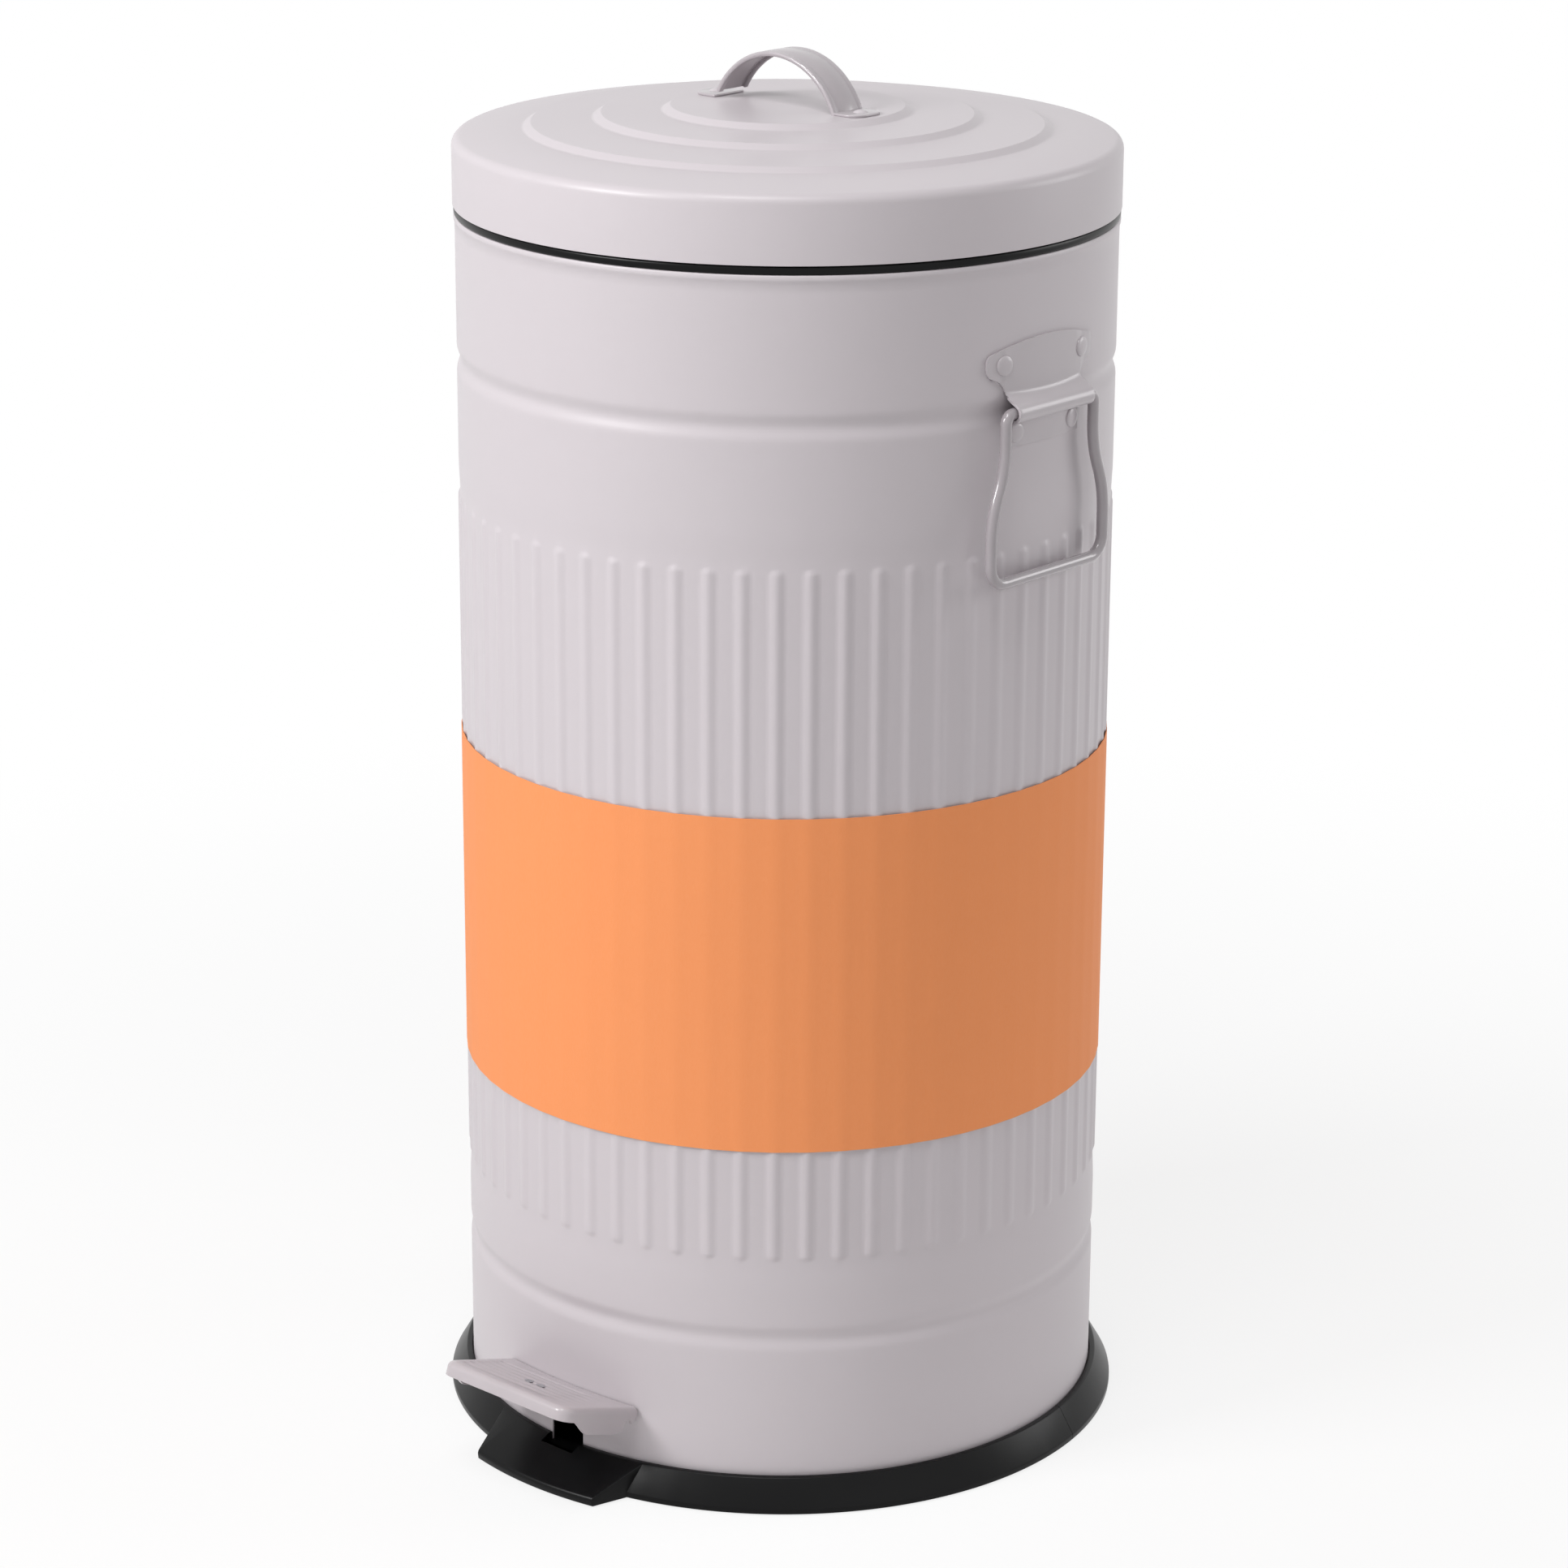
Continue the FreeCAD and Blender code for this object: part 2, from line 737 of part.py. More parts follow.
def lid_top_corners(offset):
    """Top of the lid from its corner to the middle, with three raised steps, lowered by offset."""
    corners = []
    height = LID_EDGE + size.lid_corner_radius + size.lid_third_fall
    falls = (size.lid_second_fall, size.lid_first_fall, as_size(0))
    radii = (size.lid_third_step_radius, size.lid_second_step_radius, size.lid_first_step_radius)
    for radius, fall in zip(radii, falls):
        corners.append((radius + size.lid_step_run, height - offset))
        height = height + size.lid_step_rise
        corners.append((radius, height - offset))
        height = height + fall
    corners.append((0, height - offset))
    return corners


def make_lid_shell():
    body = new_body("lid_shell")
    corner = size.lid_corner_radius
    inside = size.lid_radius - size.lid_wall
    outer = [
        (size.lid_radius, SKIRT_BOTTOM),
        (size.lid_radius, LID_EDGE),
        (size.lid_radius - corner, LID_EDGE + corner, corner),
    ] + lid_top_corners(as_size(0))
    inner = [
        (inside, SKIRT_BOTTOM),
        (inside, LID_EDGE),
        (size.lid_radius - corner, LID_EDGE + corner - size.lid_wall, corner - size.lid_wall),
    ] + lid_top_corners(size.lid_wall)
    blank = outer + [(0, SKIRT_BOTTOM)]
    spin(body, outline(body, "XZ_Plane", blank))
    low = SKIRT_BOTTOM - size.overrun
    hollow = [(0, low), (inside, low)] + inner[1:]
    spin(body, outline(body, "XZ_Plane", hollow), cut=True)
    for side in lid_handle_rivet_sides():
        upright(body, box_corners(0, LID_EDGE, RIVET_HOLE, LID_CENTRE_HEIGHT + size.overrun), side, 0,
                cut=True)
    for turn in lid_arm_rivet_turns():
        radial(body, hole_outline(size.lid_radius - size.overrun, size.lid_radius + size.overrun, RIVET_HOLE),
               lid_arm_rivet_height(), turn, cut=True)
    return body


def lid_handle_rivet_sides():
    reach = (size.strap_span + size.strap_foot_length) / 2
    return (-reach, reach)


def lid_arm_rivet_turns():
    swing = slope_turn(size.arm_rivet_spread, size.lid_radius)
    return [as_size(90) + swing * sign for sign in (-1, 1)]


def lid_arm_rivet_height():
    return (size.arm_plate_bottom + size.arm_plate_top) / 2


def make_lid_handle():
    """Arched strap with turned-down edges and a rounded foot at each end."""
    body = new_body("lid_handle")
    half = size.strap_span / 2
    base = LID_CENTRE_HEIGHT
    for depth, width_end in ((size.strap_thickness, None), (size.strap_edge_depth, size.strap_edge_width)):
        arch = arch_corners(half, base, depth)
        if width_end is None:
            pad(body, outline(body, "XZ_Plane", arch), size.strap_width, both_ways=True)
        else:
            edge = outline(body, "XZ_Plane", arch, (0, 0, size.strap_width / 2))
            side = pad(body, edge, width_end, reverse=True)
            mirror(body, [side], "XZ_Plane")
    corner = size.strap_foot_corner
    end = half + size.strap_foot_length
    across = size.strap_width / 2
    start = half - size.strap_edge_depth
    foot = [
        (start, -across),
        (end - corner, -across),
        (end, corner - across, corner),
        (end, across - corner),
        (end - corner, across, corner),
        (start, across),
    ]
    tab = pad(body, outline(body, "XY_Plane", foot, (0, 0, base)), size.strap_thickness)
    mirror(body, [tab], "YZ_Plane")
    for side in lid_handle_rivet_sides():
        upright(body, box_corners(0, base - size.overrun, RIVET_HOLE, base + size.strap_thickness * 2),
                side, 0, cut=True)
    return body


def arch_corners(half, base, depth):
    """Arched band of this depth, open below, standing on the lid's middle."""
    outside = sag_radius(half, size.strap_rise)
    inside = outside - depth
    drop = outside - size.strap_rise
    inner_half = root(inside * inside - drop * drop)
    return [
        (-half, base, outside),
        (-inner_half, base),
        (0, base + size.strap_rise - depth, -inside),
        (inner_half, base, -inside),
        (half, base),
        (0, base + size.strap_rise, outside),
    ]


def make_lid_handle_rivets():
    body = new_body("lid_handle_rivets")
    shape = rivet_outline(LID_CENTRE_HEIGHT - size.lid_wall, LID_CENTRE_HEIGHT + size.strap_thickness,
                          size.small_rivet_head, size.small_rivet_dome)
    standing = [(corner[1], corner[0]) + tuple(-part for part in corner[2:]) for corner in shape]
    for side in lid_handle_rivet_sides():
        upright(body, standing, side, 0)
    return body


# Hinge

def crank_finger_sides():
    """Low and high X of the crank finger, which is the lid arm's right-hand ear."""
    return (size.arm_half - size.hinge_ear, size.arm_half)


def crank_half_width():
    return size.rod_radius + size.crank_slot_play + size.crank_rim


def eye_corners(back, height, radius, low_corners):
    """Outline in the YZ plane: three quarters round an eye, then the given corners."""
    return [
        (back + radius, height),
        (back, height + radius, radius),
        (back - radius, height, radius),
    ] + low_corners


def make_hinge_bracket():
    """Plate riveted to the body with two ears that hold the hinge pin."""
    body = new_body("hinge_bracket")
    plate_of_ring(body, BRACKET_INSIDE, BRACKET_OUTSIDE, size.hinge_bracket_half,
                  size.hinge_bracket_bottom, size.hinge_bracket_top)
    eye = size.hinge_eye_radius
    inner = root(BRACKET_OUTSIDE * BRACKET_OUTSIDE
                 - size.hinge_bracket_half * size.hinge_bracket_half)
    ear_low = size.hinge_bracket_top - size.hinge_bracket_half
    ear = eye_corners(HINGE_BACK, size.hinge_height, eye, [
        (HINGE_BACK - eye, size.hinge_bracket_top),
        (inner, size.hinge_bracket_top),
        (inner, ear_low),
        (HINGE_BACK + eye, size.hinge_height - size.hinge_bracket_half / 2),
    ])
    add_ears(body, ear, size.hinge_bracket_half)
    level(body, hole_outline(-size.hinge_bracket_half * 2, size.hinge_bracket_half * 2,
                             size.hinge_pin_radius + size.pin_play), HINGE_BACK, size.hinge_height, cut=True)
    for height, turn in hinge_rivet_spots():
        radial(body, hole_outline(size.body_radius, size.body_radius + size.overrun, RIVET_HOLE),
               height, turn, cut=True)
    return body


def plate_of_ring(body, inside, outside, half_width, low, high):
    """Piece of a round wall at the rear, from low to high."""
    swing = slope_turn(half_width, outside)
    sketch = outline(body, "YZ_Plane", box_corners(inside, low, outside, high))
    return spin(body, sketch, "V_Axis", turn=swing * 2)


def add_ears(body, ear, half_width):
    """An ear at each side, its outer face at half_width."""
    sketch = outline(body, "YZ_Plane", ear, (0, 0, half_width))
    right = pad(body, sketch, size.hinge_ear, reverse=True)
    mirror(body, [right], "YZ_Plane")


def make_hinge_rivets():
    body = new_body("hinge_rivets")
    shape = rivet_outline(BODY_INSIDE - size.rivet_play, BRACKET_OUTSIDE,
                          size.small_rivet_head, size.small_rivet_dome)
    for height, turn in hinge_rivet_spots():
        radial(body, shape, height, turn)
    return body


def pin_outline(start, end, radius):
    """Half outline of a pin along X with a head beyond its start."""
    head_start = start - size.pin_head_length
    return [
        (head_start, 0),
        (end, 0),
        (end, radius),
        (start, radius),
        (start, size.pin_head_radius),
        (head_start, size.pin_head_radius),
    ]


def clip_outline(start, shaft_radius):
    """Half outline of a round spring clip on a shaft along X."""
    hole = shaft_radius + size.pin_play
    return box_corners(start, hole, start + size.clip_thickness, size.clip_radius)


def make_hinge_pin():
    body = new_body("hinge_pin")
    start = -size.hinge_bracket_half - size.seat_gap
    end = size.hinge_bracket_half + size.seat_gap * 2 + size.clip_thickness * 2
    level(body, pin_outline(start, end, size.hinge_pin_radius), HINGE_BACK, size.hinge_height)
    return body


def make_hinge_clip():
    body = new_body("hinge_clip")
    start = size.hinge_bracket_half + size.seat_gap
    level(body, clip_outline(start, size.hinge_pin_radius), HINGE_BACK, size.hinge_height)
    return body


def make_lid_hinge_arm():
    """Plate on the lid's skirt with two ears on the pin; the right ear carries the crank finger."""
    body = new_body("lid_hinge_arm")
    plate_of_ring(body, ARM_INSIDE, ARM_OUTSIDE, size.arm_half, size.arm_plate_bottom, size.arm_plate_top)
    eye = size.hinge_eye_radius
    inner_side = size.arm_half - size.hinge_ear
    inner = root(ARM_INSIDE * ARM_INSIDE - inner_side * inner_side)
    ear = eye_corners(HINGE_BACK, size.hinge_height, eye, [
        (inner, size.hinge_height),
        (inner, size.arm_plate_top),
        (ARM_OUTSIDE, size.arm_plate_top),
        (HINGE_BACK + eye, size.arm_plate_bottom),
    ])
    lower = ear_with_round_bottom(ear, eye)
    add_ears(body, lower, size.arm_half)
    finger = finger_corners()
    sketch = outline(body, "YZ_Plane", finger, (0, 0, size.arm_half))
    pad(body, sketch, size.hinge_ear, reverse=True)
    slot = slot_corners()
    sketch = outline(body, "YZ_Plane", slot, (0, 0, size.arm_half + size.hinge_ear))
    pocket(body, sketch, size.hinge_ear * 3)
    level(body, hole_outline(-size.arm_half * 2, size.arm_half * 2, size.hinge_pin_radius + size.pin_play),
          HINGE_BACK, size.hinge_height, cut=True)
    for turn in lid_arm_rivet_turns():
        radial(body, hole_outline(size.lid_radius, size.lid_radius + size.overrun, RIVET_HOLE),
               lid_arm_rivet_height(), turn, cut=True)
    return body


def ear_with_round_bottom(ear, eye):
    """Lid ear: half round under the pin, straight up to the skirt plate."""
    upper = ear[3:]
    return [
        (HINGE_BACK - eye, size.hinge_height),
        (HINGE_BACK, size.hinge_height - eye, eye),
        (HINGE_BACK + eye, size.hinge_height, eye),
        (HINGE_BACK + eye, size.arm_plate_bottom),
        (ARM_OUTSIDE, size.arm_plate_top),
        upper[1],
        (upper[0][0], SKIRT_BOTTOM - size.seat_gap),
    ]


def along_crank(distance, aside):
    """Point in the YZ plane at a distance from the pin along the crank, and aside of it."""
    back = HINGE_BACK - distance * cosine(CRANK_SWING) + aside * sine(CRANK_SWING)
    height = size.hinge_height - distance * sine(CRANK_SWING) - aside * cosine(CRANK_SWING)
    return (back, height)


def finger_corners():
    """Crank finger from the pin inward and down, round at its tip."""
    half = crank_half_width()
    return [
        along_crank(as_size(0), half),
        along_crank(as_size(0), -half),
        along_crank(CRANK_RADIUS, -half),
        along_crank(CRANK_RADIUS + half, as_size(0)) + (half,),
        along_crank(CRANK_RADIUS, half) + (half,),
    ]


def slot_corners():
    """Slot in the crank finger for the push rod's hook, round at both ends."""
    half = size.rod_radius + size.crank_slot_play
    near = size.crank_reach - size.crank_slot_play
    return [
        along_crank(near, half),
        along_crank(near - half, as_size(0)) + (half,),
        along_crank(near, -half) + (half,),
        along_crank(CRANK_RADIUS, -half),
        along_crank(CRANK_RADIUS + half, as_size(0)) + (half,),
        along_crank(CRANK_RADIUS, half) + (half,),
    ]


def make_lid_hinge_rivets():
    body = new_body("lid_hinge_rivets")
    shape = rivet_outline(size.lid_radius - size.lid_wall - size.rivet_play, ARM_OUTSIDE,
                          size.small_rivet_head, size.small_rivet_dome)
    for turn in lid_arm_rivet_turns():
        radial(body, shape, lid_arm_rivet_height(), turn)
    return body


# Side handles

def bracket_plate_corners():
    """Outline of the handle's plate seen from its front: wide ears, a neck and a square foot."""
    ear = size.plate_ear_half
    corner = size.plate_ear_corner
    neck = size.plate_neck_half
    bend = size.plate_neck_radius
    crown = sag_radius(ear - corner, size.plate_top - size.plate_shoulder)
    foot = size.plate_foot_half
    neck_height = size.plate_ear_bottom - bend
    return [
        (-foot, size.plate_foot),
        (foot, size.plate_foot),
        (foot, size.tunnel_height),
        (neck, size.tunnel_height),
        (neck, neck_height),
        (neck + bend, size.plate_ear_bottom, -bend),
        (ear, size.plate_ear_bottom + corner, corner),
        (ear, size.plate_shoulder - corner),
        (ear - corner, size.plate_shoulder, corner),
        (corner - ear, size.plate_shoulder, crown),
        (-ear, size.plate_shoulder - corner, corner),
        (-ear, size.plate_ear_bottom + corner),
        (-neck - bend, size.plate_ear_bottom, corner),
        (-neck, neck_height, -bend),
        (-neck, size.tunnel_height),
        (-foot, size.tunnel_height),
    ]


def make_handle_bracket(label, half_turn):
    """Riveted plate with a half-round tunnel over the bail's wire."""
    body = new_body(label)
    start = size.body_radius - size.overrun
    pad(body, outline(body, "YZ_Plane", bracket_plate_corners(), (0, 0, start)), size.overrun * 2)
    low = size.plate_foot - size.overrun
    high = size.plate_top + size.overrun
    far = size.body_radius + size.overrun * 2
    spin(body, outline(body, "XZ_Plane", box_corners(HANDLE_PLATE_OUTSIDE, low, far, high)), cut=True)
    tube_outside = TUBE_INSIDE + size.plate_thickness
    hood = hood_corners(tube_outside)
    pad(body, outline(body, "XZ_Plane", hood), size.tunnel_half_length * 2, both_ways=True)
    channel = hood_corners(TUBE_INSIDE)
    pocket(body, outline(body, "XZ_Plane", channel), size.plate_ear_half * 4, both_ways=True)
    spin(body, outline(body, "XZ_Plane", box_corners(0, low, HANDLE_PLATE_INSIDE, high)), cut=True)
    for height, turn in handle_rivet_spots():
        radial(body, hole_outline(size.body_radius, far, RIVET_HOLE), height, turn, cut=True)
    place(body, turn=half_turn)
    return body


def hood_corners(radius):
    """Half-round hood over the wire, open towards the body."""
    start = size.body_radius - size.overrun
    return [
        (start, size.tunnel_height - radius),
        (BAIL_OUT, size.tunnel_height - radius),
        (BAIL_OUT + radius, size.tunnel_height, radius),
        (BAIL_OUT, size.tunnel_height + radius, radius),
        (start, size.tunnel_height + radius),
    ]


def make_handle_rivets(label, half_turn):
    body = new_body(label)
    shape = rivet_outline(BODY_INSIDE - size.rivet_play, HANDLE_PLATE_OUTSIDE,
                          size.handle_rivet_head, size.handle_rivet_dome)
    for height, turn in handle_rivet_spots():
        radial(body, shape, height, turn)
    place(body, turn=half_turn)
    return body


def bail_path():
    """Half of the bail's wire in its own plane, from the middle of the top to that of the bottom."""
    shift = size.bail_belly_half - size.bail_neck_half
    run = size.bail_flare_run
    flare = (run * run + shift * shift) / (shift * 4)
    top_bend = size.bail_top_bend
    flare_top = -(top_bend + size.bail_neck_run)
    bottom = -size.bail_drop
    bend = size.bail_bottom_bend
    return [
        (0, 0),
        (size.bail_neck_half - top_bend, 0),
        (size.bail_neck_half, -top_bend, -top_bend),
        (size.bail_neck_half, flare_top),
        (size.bail_neck_half + shift / 2, flare_top - run / 2, flare),
        (size.bail_belly_half, flare_top - run, -flare),
        (size.bail_belly_half, bottom + bend),
        (size.bail_belly_half - bend, bottom, -bend),
        (0, bottom),
    ]


def make_bail(label, half_turn):
    """Wire handle that hangs from the tunnel against the body."""
    body = new_body(label)
    half = sweep(body, "YZ_Plane", bail_path(), "XZ_Plane", (0, 0, 0), BAIL_RADIUS)
    mirror(body, [half], "XZ_Plane")
    side = 1 if half_turn is None else -1
    place(body, (BAIL_OUT * side, 0, size.tunnel_height), turn=half_turn)
    return body


# Lever, rod and pedal

def make_fulcrum_bracket():
    """Two posts on a foot plate, on the floor of the base."""
    body = new_body("fulcrum_bracket")
    inside = size.lever_half_width + size.fulcrum_gap
    outside = inside + size.fulcrum_sheet
    half = size.fulcrum_post_half
    foot = box_corners(-size.fulcrum_foot_half, -half, size.fulcrum_foot_half, half)
    pad(body, outline(body, "XY_Plane", foot, (0, 0, PLATE_TOP)), size.fulcrum_sheet)
    height = size.fulcrum_height
    post = [
        (-half, PLATE_TOP),
        (half, PLATE_TOP),
        (half, height),
        (0, height + half, half),
        (-half, height, half),
    ]
    pad(body, outline(body, "YZ_Plane", post), outside * 2, both_ways=True)
    gap = box_corners(-inside, PLATE_TOP + size.fulcrum_sheet, inside, height + size.overrun)
    pocket(body, outline(body, "XZ_Plane", gap), half * 4, both_ways=True)
    level(body, hole_outline(-outside * 2, outside * 2, size.fulcrum_pin_radius + size.pin_play), 0, height,
          cut=True)
    for side, back in fulcrum_rivet_spots():
        upright(body, box_corners(0, PLATE_TOP - size.overrun, RIVET_HOLE, height), side, back, cut=True)
    return body


def fulcrum_rivet_spots():
    return [(size.fulcrum_rivet_side * side, size.fulcrum_rivet_back * back)
            for side in (-1, 1) for back in (-1, 1)]


def make_fulcrum_rivets():
    body = new_body("fulcrum_rivets")
    tail = size.plate_low
    head = PLATE_TOP + size.fulcrum_sheet
    shape = rivet_outline(tail, head, size.rivet_tail, size.small_rivet_dome)
    standing = [(corner[1], corner[0]) + tuple(-part for part in corner[2:]) for corner in shape]
    for side, back in fulcrum_rivet_spots():
        upright(body, standing, side, back)
    return body


def fulcrum_outside():
    return size.lever_half_width + size.fulcrum_gap + size.fulcrum_sheet


def make_fulcrum_pin():
    body = new_body("fulcrum_pin")
    start = -fulcrum_outside() - size.seat_gap
    end = fulcrum_outside() + size.seat_gap * 2 + size.clip_thickness * 2
    level(body, pin_outline(start, end, size.fulcrum_pin_radius), 0, size.fulcrum_height)
    return body


def make_fulcrum_clip():
    body = new_body("fulcrum_clip")
    level(body, clip_outline(fulcrum_outside() + size.seat_gap, size.fulcrum_pin_radius), 0,
          size.fulcrum_height)
    return body


def make_pedal_stop():
    """Rubber buffer on the floor of the base that the lever meets when the pedal is down."""
    body = new_body("pedal_stop")
    travel = lever_travel() - size.lever_tilt
    top = (size.fulcrum_height - size.stop_back * sine(travel) - size.lever_half_height * cosine(travel)
           - size.stop_radius * sine(travel) - size.seat_gap)
    upright(body, box_corners(0, PLATE_TOP, size.stop_radius, top), 0, -size.stop_back)
    return body


def lever_travel():
    """Turn of the lever that lifts the rod through the crank's whole swing."""
    lift = CRANK_RADIUS * sine(CRANK_SWING) * 2
    low = sine(size.lever_tilt)
    high = lift / size.lever_rear - low
    above = Size("(asin(%s) / 1 deg)" % high.text, math.degrees(math.asin(high.value)))
    return size.lever_tilt + above


def lever_side_corners(top, bottom, extra):
    """Side of the lever: straight to the rear eye, bent up at the front under the pedal."""
    bend = size.pedal_tilt
    front = size.lever_front
    toe = size.lever_toe + extra
    deep = top + bottom
    tip = (-front - toe * cosine(bend), top + toe * sine(bend))
    low_tip = (tip[0] - deep * sine(bend), tip[1] - deep * cosine(bend))
    low_bend = (-front - deep * tangent(bend / 2), -bottom)
    return tip, low_tip, low_bend


def make_pedal_lever():
    """Pressed channel, open below, that turns on the fulcrum pin."""
    body = new_body("pedal_lever")
    half = size.lever_half_height
    rear = size.lever_rear
    tip, low_tip, low_bend = lever_side_corners(half, half, as_size(0))
    side = [
        (-size.lever_front, half),
        tip,
        low_tip,
        low_bend,
        (rear, -half),
        (rear + half, 0, half),
        (rear, half, half),
    ]
    pad(body, outline(body, "YZ_Plane", side), size.lever_half_width * 2, both_ways=True)
    roof = half - size.lever_sheet
    deep = half + size.overrun
    tip, low_tip, low_bend = lever_side_corners(roof, deep, size.overrun)
    hollow = [(-size.lever_front, roof), tip, low_tip, low_bend,
              (rear + size.overrun, -deep), (rear + size.overrun, roof)]
    inner = (size.lever_half_width - size.lever_sheet) * 2
    pocket(body, outline(body, "YZ_Plane", hollow), inner, both_ways=True)
    wide = size.lever_half_width * 2
    level(body, hole_outline(-wide, wide, size.fulcrum_pin_radius + size.pin_play), 0, 0, cut=True)
    level(body, hole_outline(-wide, wide, size.rod_radius + size.pin_play), rear, 0, cut=True)
    lean_room = size.lever_sheet * tangent(size.pedal_tilt)
    for side_place, along in pedal_rivet_spots():
        back = -size.lever_front - along * cosine(size.pedal_tilt)
        up = along * sine(size.pedal_tilt) + half
        hole = box_corners(0, up - size.lever_sheet * 2, size.pedal_rivet_shank + lean_room + size.rivet_play,
                           up + size.lever_sheet)
        upright(body, hole, side_place, back, cut=True)
    place(body, (0, 0, size.fulcrum_height), ACROSS, -size.lever_tilt)
    return body


def pedal_rivet_spots():
    """Side place, and distance out along the pedal, of each of its rivets."""
    return [(size.pedal_rivet_side * sign, size.pedal_rivet_back - size.pedal_corner) for sign in (-1, 1)]


def pedal_place(body):
    """Sets a body on the lever's bent front, in the pedal's own slope."""
    tilt = size.lever_tilt
    back = -size.lever_front * cosine(tilt) + size.lever_half_height * sine(tilt)
    height = size.fulcrum_height + size.lever_front * sine(tilt) + size.lever_half_height * cosine(tilt)
    place(body, (0, back, height), ACROSS, -(tilt + size.pedal_tilt))


def pedal_plan(inset):
    """Pedal seen from above: a hollow back that follows the body, rounded front corners."""
    corner = size.pedal_corner - inset
    half_rear = size.pedal_half_rear - inset
    half_front = size.pedal_half_front - inset
    front = size.pedal_reach - inset
    hug = size.body_radius + size.pedal_body_gap
    rear = hug - root(hug * hug - half_rear * half_rear)
    return [
        (-half_rear, rear),
        (-half_front, corner - front),
        (corner - half_front, -front, corner),
        (half_front - corner, -front),
        (half_front, corner - front, corner),
        (half_rear, rear),
    ], hug


def make_pedal_plate():
    """Pressed pedal: grooved top, apron at the front and a rounded flange at each side."""
    body = new_body("pedal_plate")
    top = size.pedal_sheet
    plan, hug = pedal_plan(as_size(0))
    plan = [plan[0] + (-hug,)] + plan[1:]
    pad(body, outline(body, "XY_Plane", plan, (0, 0, top)), size.pedal_flange, reverse=True)
    round_pedal_edges(body)
    inner, hug = pedal_plan(size.pedal_sheet)
    open_back = size.pedal_reach
    hollow = [(-size.pedal_half_rear + size.pedal_sheet, open_back)] + inner[1:5] + [
        (size.pedal_half_rear - size.pedal_sheet, open_back)]
    pocket(body, outline(body, "XY_Plane", hollow), size.pedal_flange * 2)
    trim_flanges(body)
    cut_grooves(body)
    for side, along in pedal_rivet_spots():
        upright(body, box_corners(0, -size.pedal_flange, size.pedal_rivet_shank + size.rivet_play,
                                  size.pedal_flange), side, -along, cut=True)
    pedal_place(body)
    return body


def round_pedal_edges(body):
    """Rounds the top edge along the sides and the front."""
    tip = body.Tip
    names = []
    for number, edge in enumerate(tip.Shape.Edges, start=1):
        middle = edge.CenterOfMass
        on_top = abs(middle.z - size.pedal_sheet.value) < size.seat_gap.value
        at_back = middle.y > -size.seat_gap.value
        if on_top and not at_back:
            names.append("Edge%d" % number)
    rounding = body.newObject("PartDesign::Fillet", body.Label + "_round")
    rounding.Base = (tip, names)
    bind(rounding, "Radius", size.pedal_round)
    rounding.Refine = False
    DOCUMENT.recompute()


def trim_flanges(body):
    """Leaves a shallow apron in front and a rounded lobe on each side flange."""
    top = size.pedal_sheet
    reach = size.pedal_reach
    apron = top - size.pedal_apron
    deep = top - size.pedal_flange
    bend = size.pedal_corner
    lobe_front = bend * 2 - reach
    lobe_back = -bend
    waste = [
        (-reach - size.overrun, deep - size.overrun),
        (reach, deep - size.overrun),
        (reach, -top),
        (bend, -top),
        (lobe_back, deep, -size.pedal_reach),
        (lobe_front, deep),
        (-reach + bend, apron, size.pedal_reach),
        (-reach - size.overrun, apron),
    ]
    wide = size.pedal_half_rear * 4
    pocket(body, outline(body, "YZ_Plane", waste), wide, both_ways=True)


def cut_grooves(body):
    """Long shallow grooves across the top of the pedal."""
    half = size.pedal_groove_half
    front = -size.pedal_groove_start
    bar = box_corners(-half, front - size.pedal_groove_width, half, front)
    groove = pocket(body, outline(body, "XY_Plane", bar, (0, 0, size.pedal_sheet)), size.pedal_groove_depth)
    row = body.newObject("PartDesign::LinearPattern", body.Label + "_row")
    row.Originals = [groove]
    row.Direction = (origin_part(body, "Y_Axis"), [""])
    row.Reversed = True
    bind(row, "Length", size.pedal_groove_pitch * (size.pedal_groove_count - 1))
    bind(row, "Occurrences", size.pedal_groove_count)
    row.Refine = False
    body.Tip = row
    DOCUMENT.recompute()


def make_pedal_rivets():
    body = new_body("pedal_rivets")
    top = size.pedal_sheet
    tail = -size.lever_sheet
    shank = size.pedal_rivet_shank
    head = size.pedal_rivet_head
    shape = [
        (0, tail - size.pedal_rivet_dome),
        (head, tail - size.pedal_rivet_dome),
        (head, tail),
        (shank, tail),
        (shank, top),
        (head, top),
        (0, top + size.pedal_rivet_dome, sag_radius(head, size.pedal_rivet_dome)),
    ]
    for side, along in pedal_rivet_spots():
        upright(body, shape, side, -along)
    pedal_place(body)
    return body


def rod_length():
    rise = ROD_HEAD_HEIGHT - ROD_FOOT_HEIGHT
    return rise / cosine(ROD_LEAN)


def rod_place(body):
    """Sets a body at the lever's rear eye, leaning as the rod leans."""
    place(body, (size.rod_side, ROD_FOOT_BACK, ROD_FOOT_HEIGHT), ACROSS, -ROD_LEAN)


def make_push_rod():
    """Wire rod with a hook at each end: left through the lever, right through the crank finger."""
    body = new_body("push_rod")
    bend = size.rod_bend
    length = rod_length()
    path = [
        (-size.rod_foot_hook, 0),
        (-bend, 0),
        (0, bend, bend),
        (0, length - bend),
        (bend, length, -bend),
        (size.rod_head_hook, length),
    ]
    sweep(body, "XZ_Plane", path, "YZ_Plane", (0, 0, -size.rod_foot_hook), size.rod_radius)
    rod_place(body)
    return body


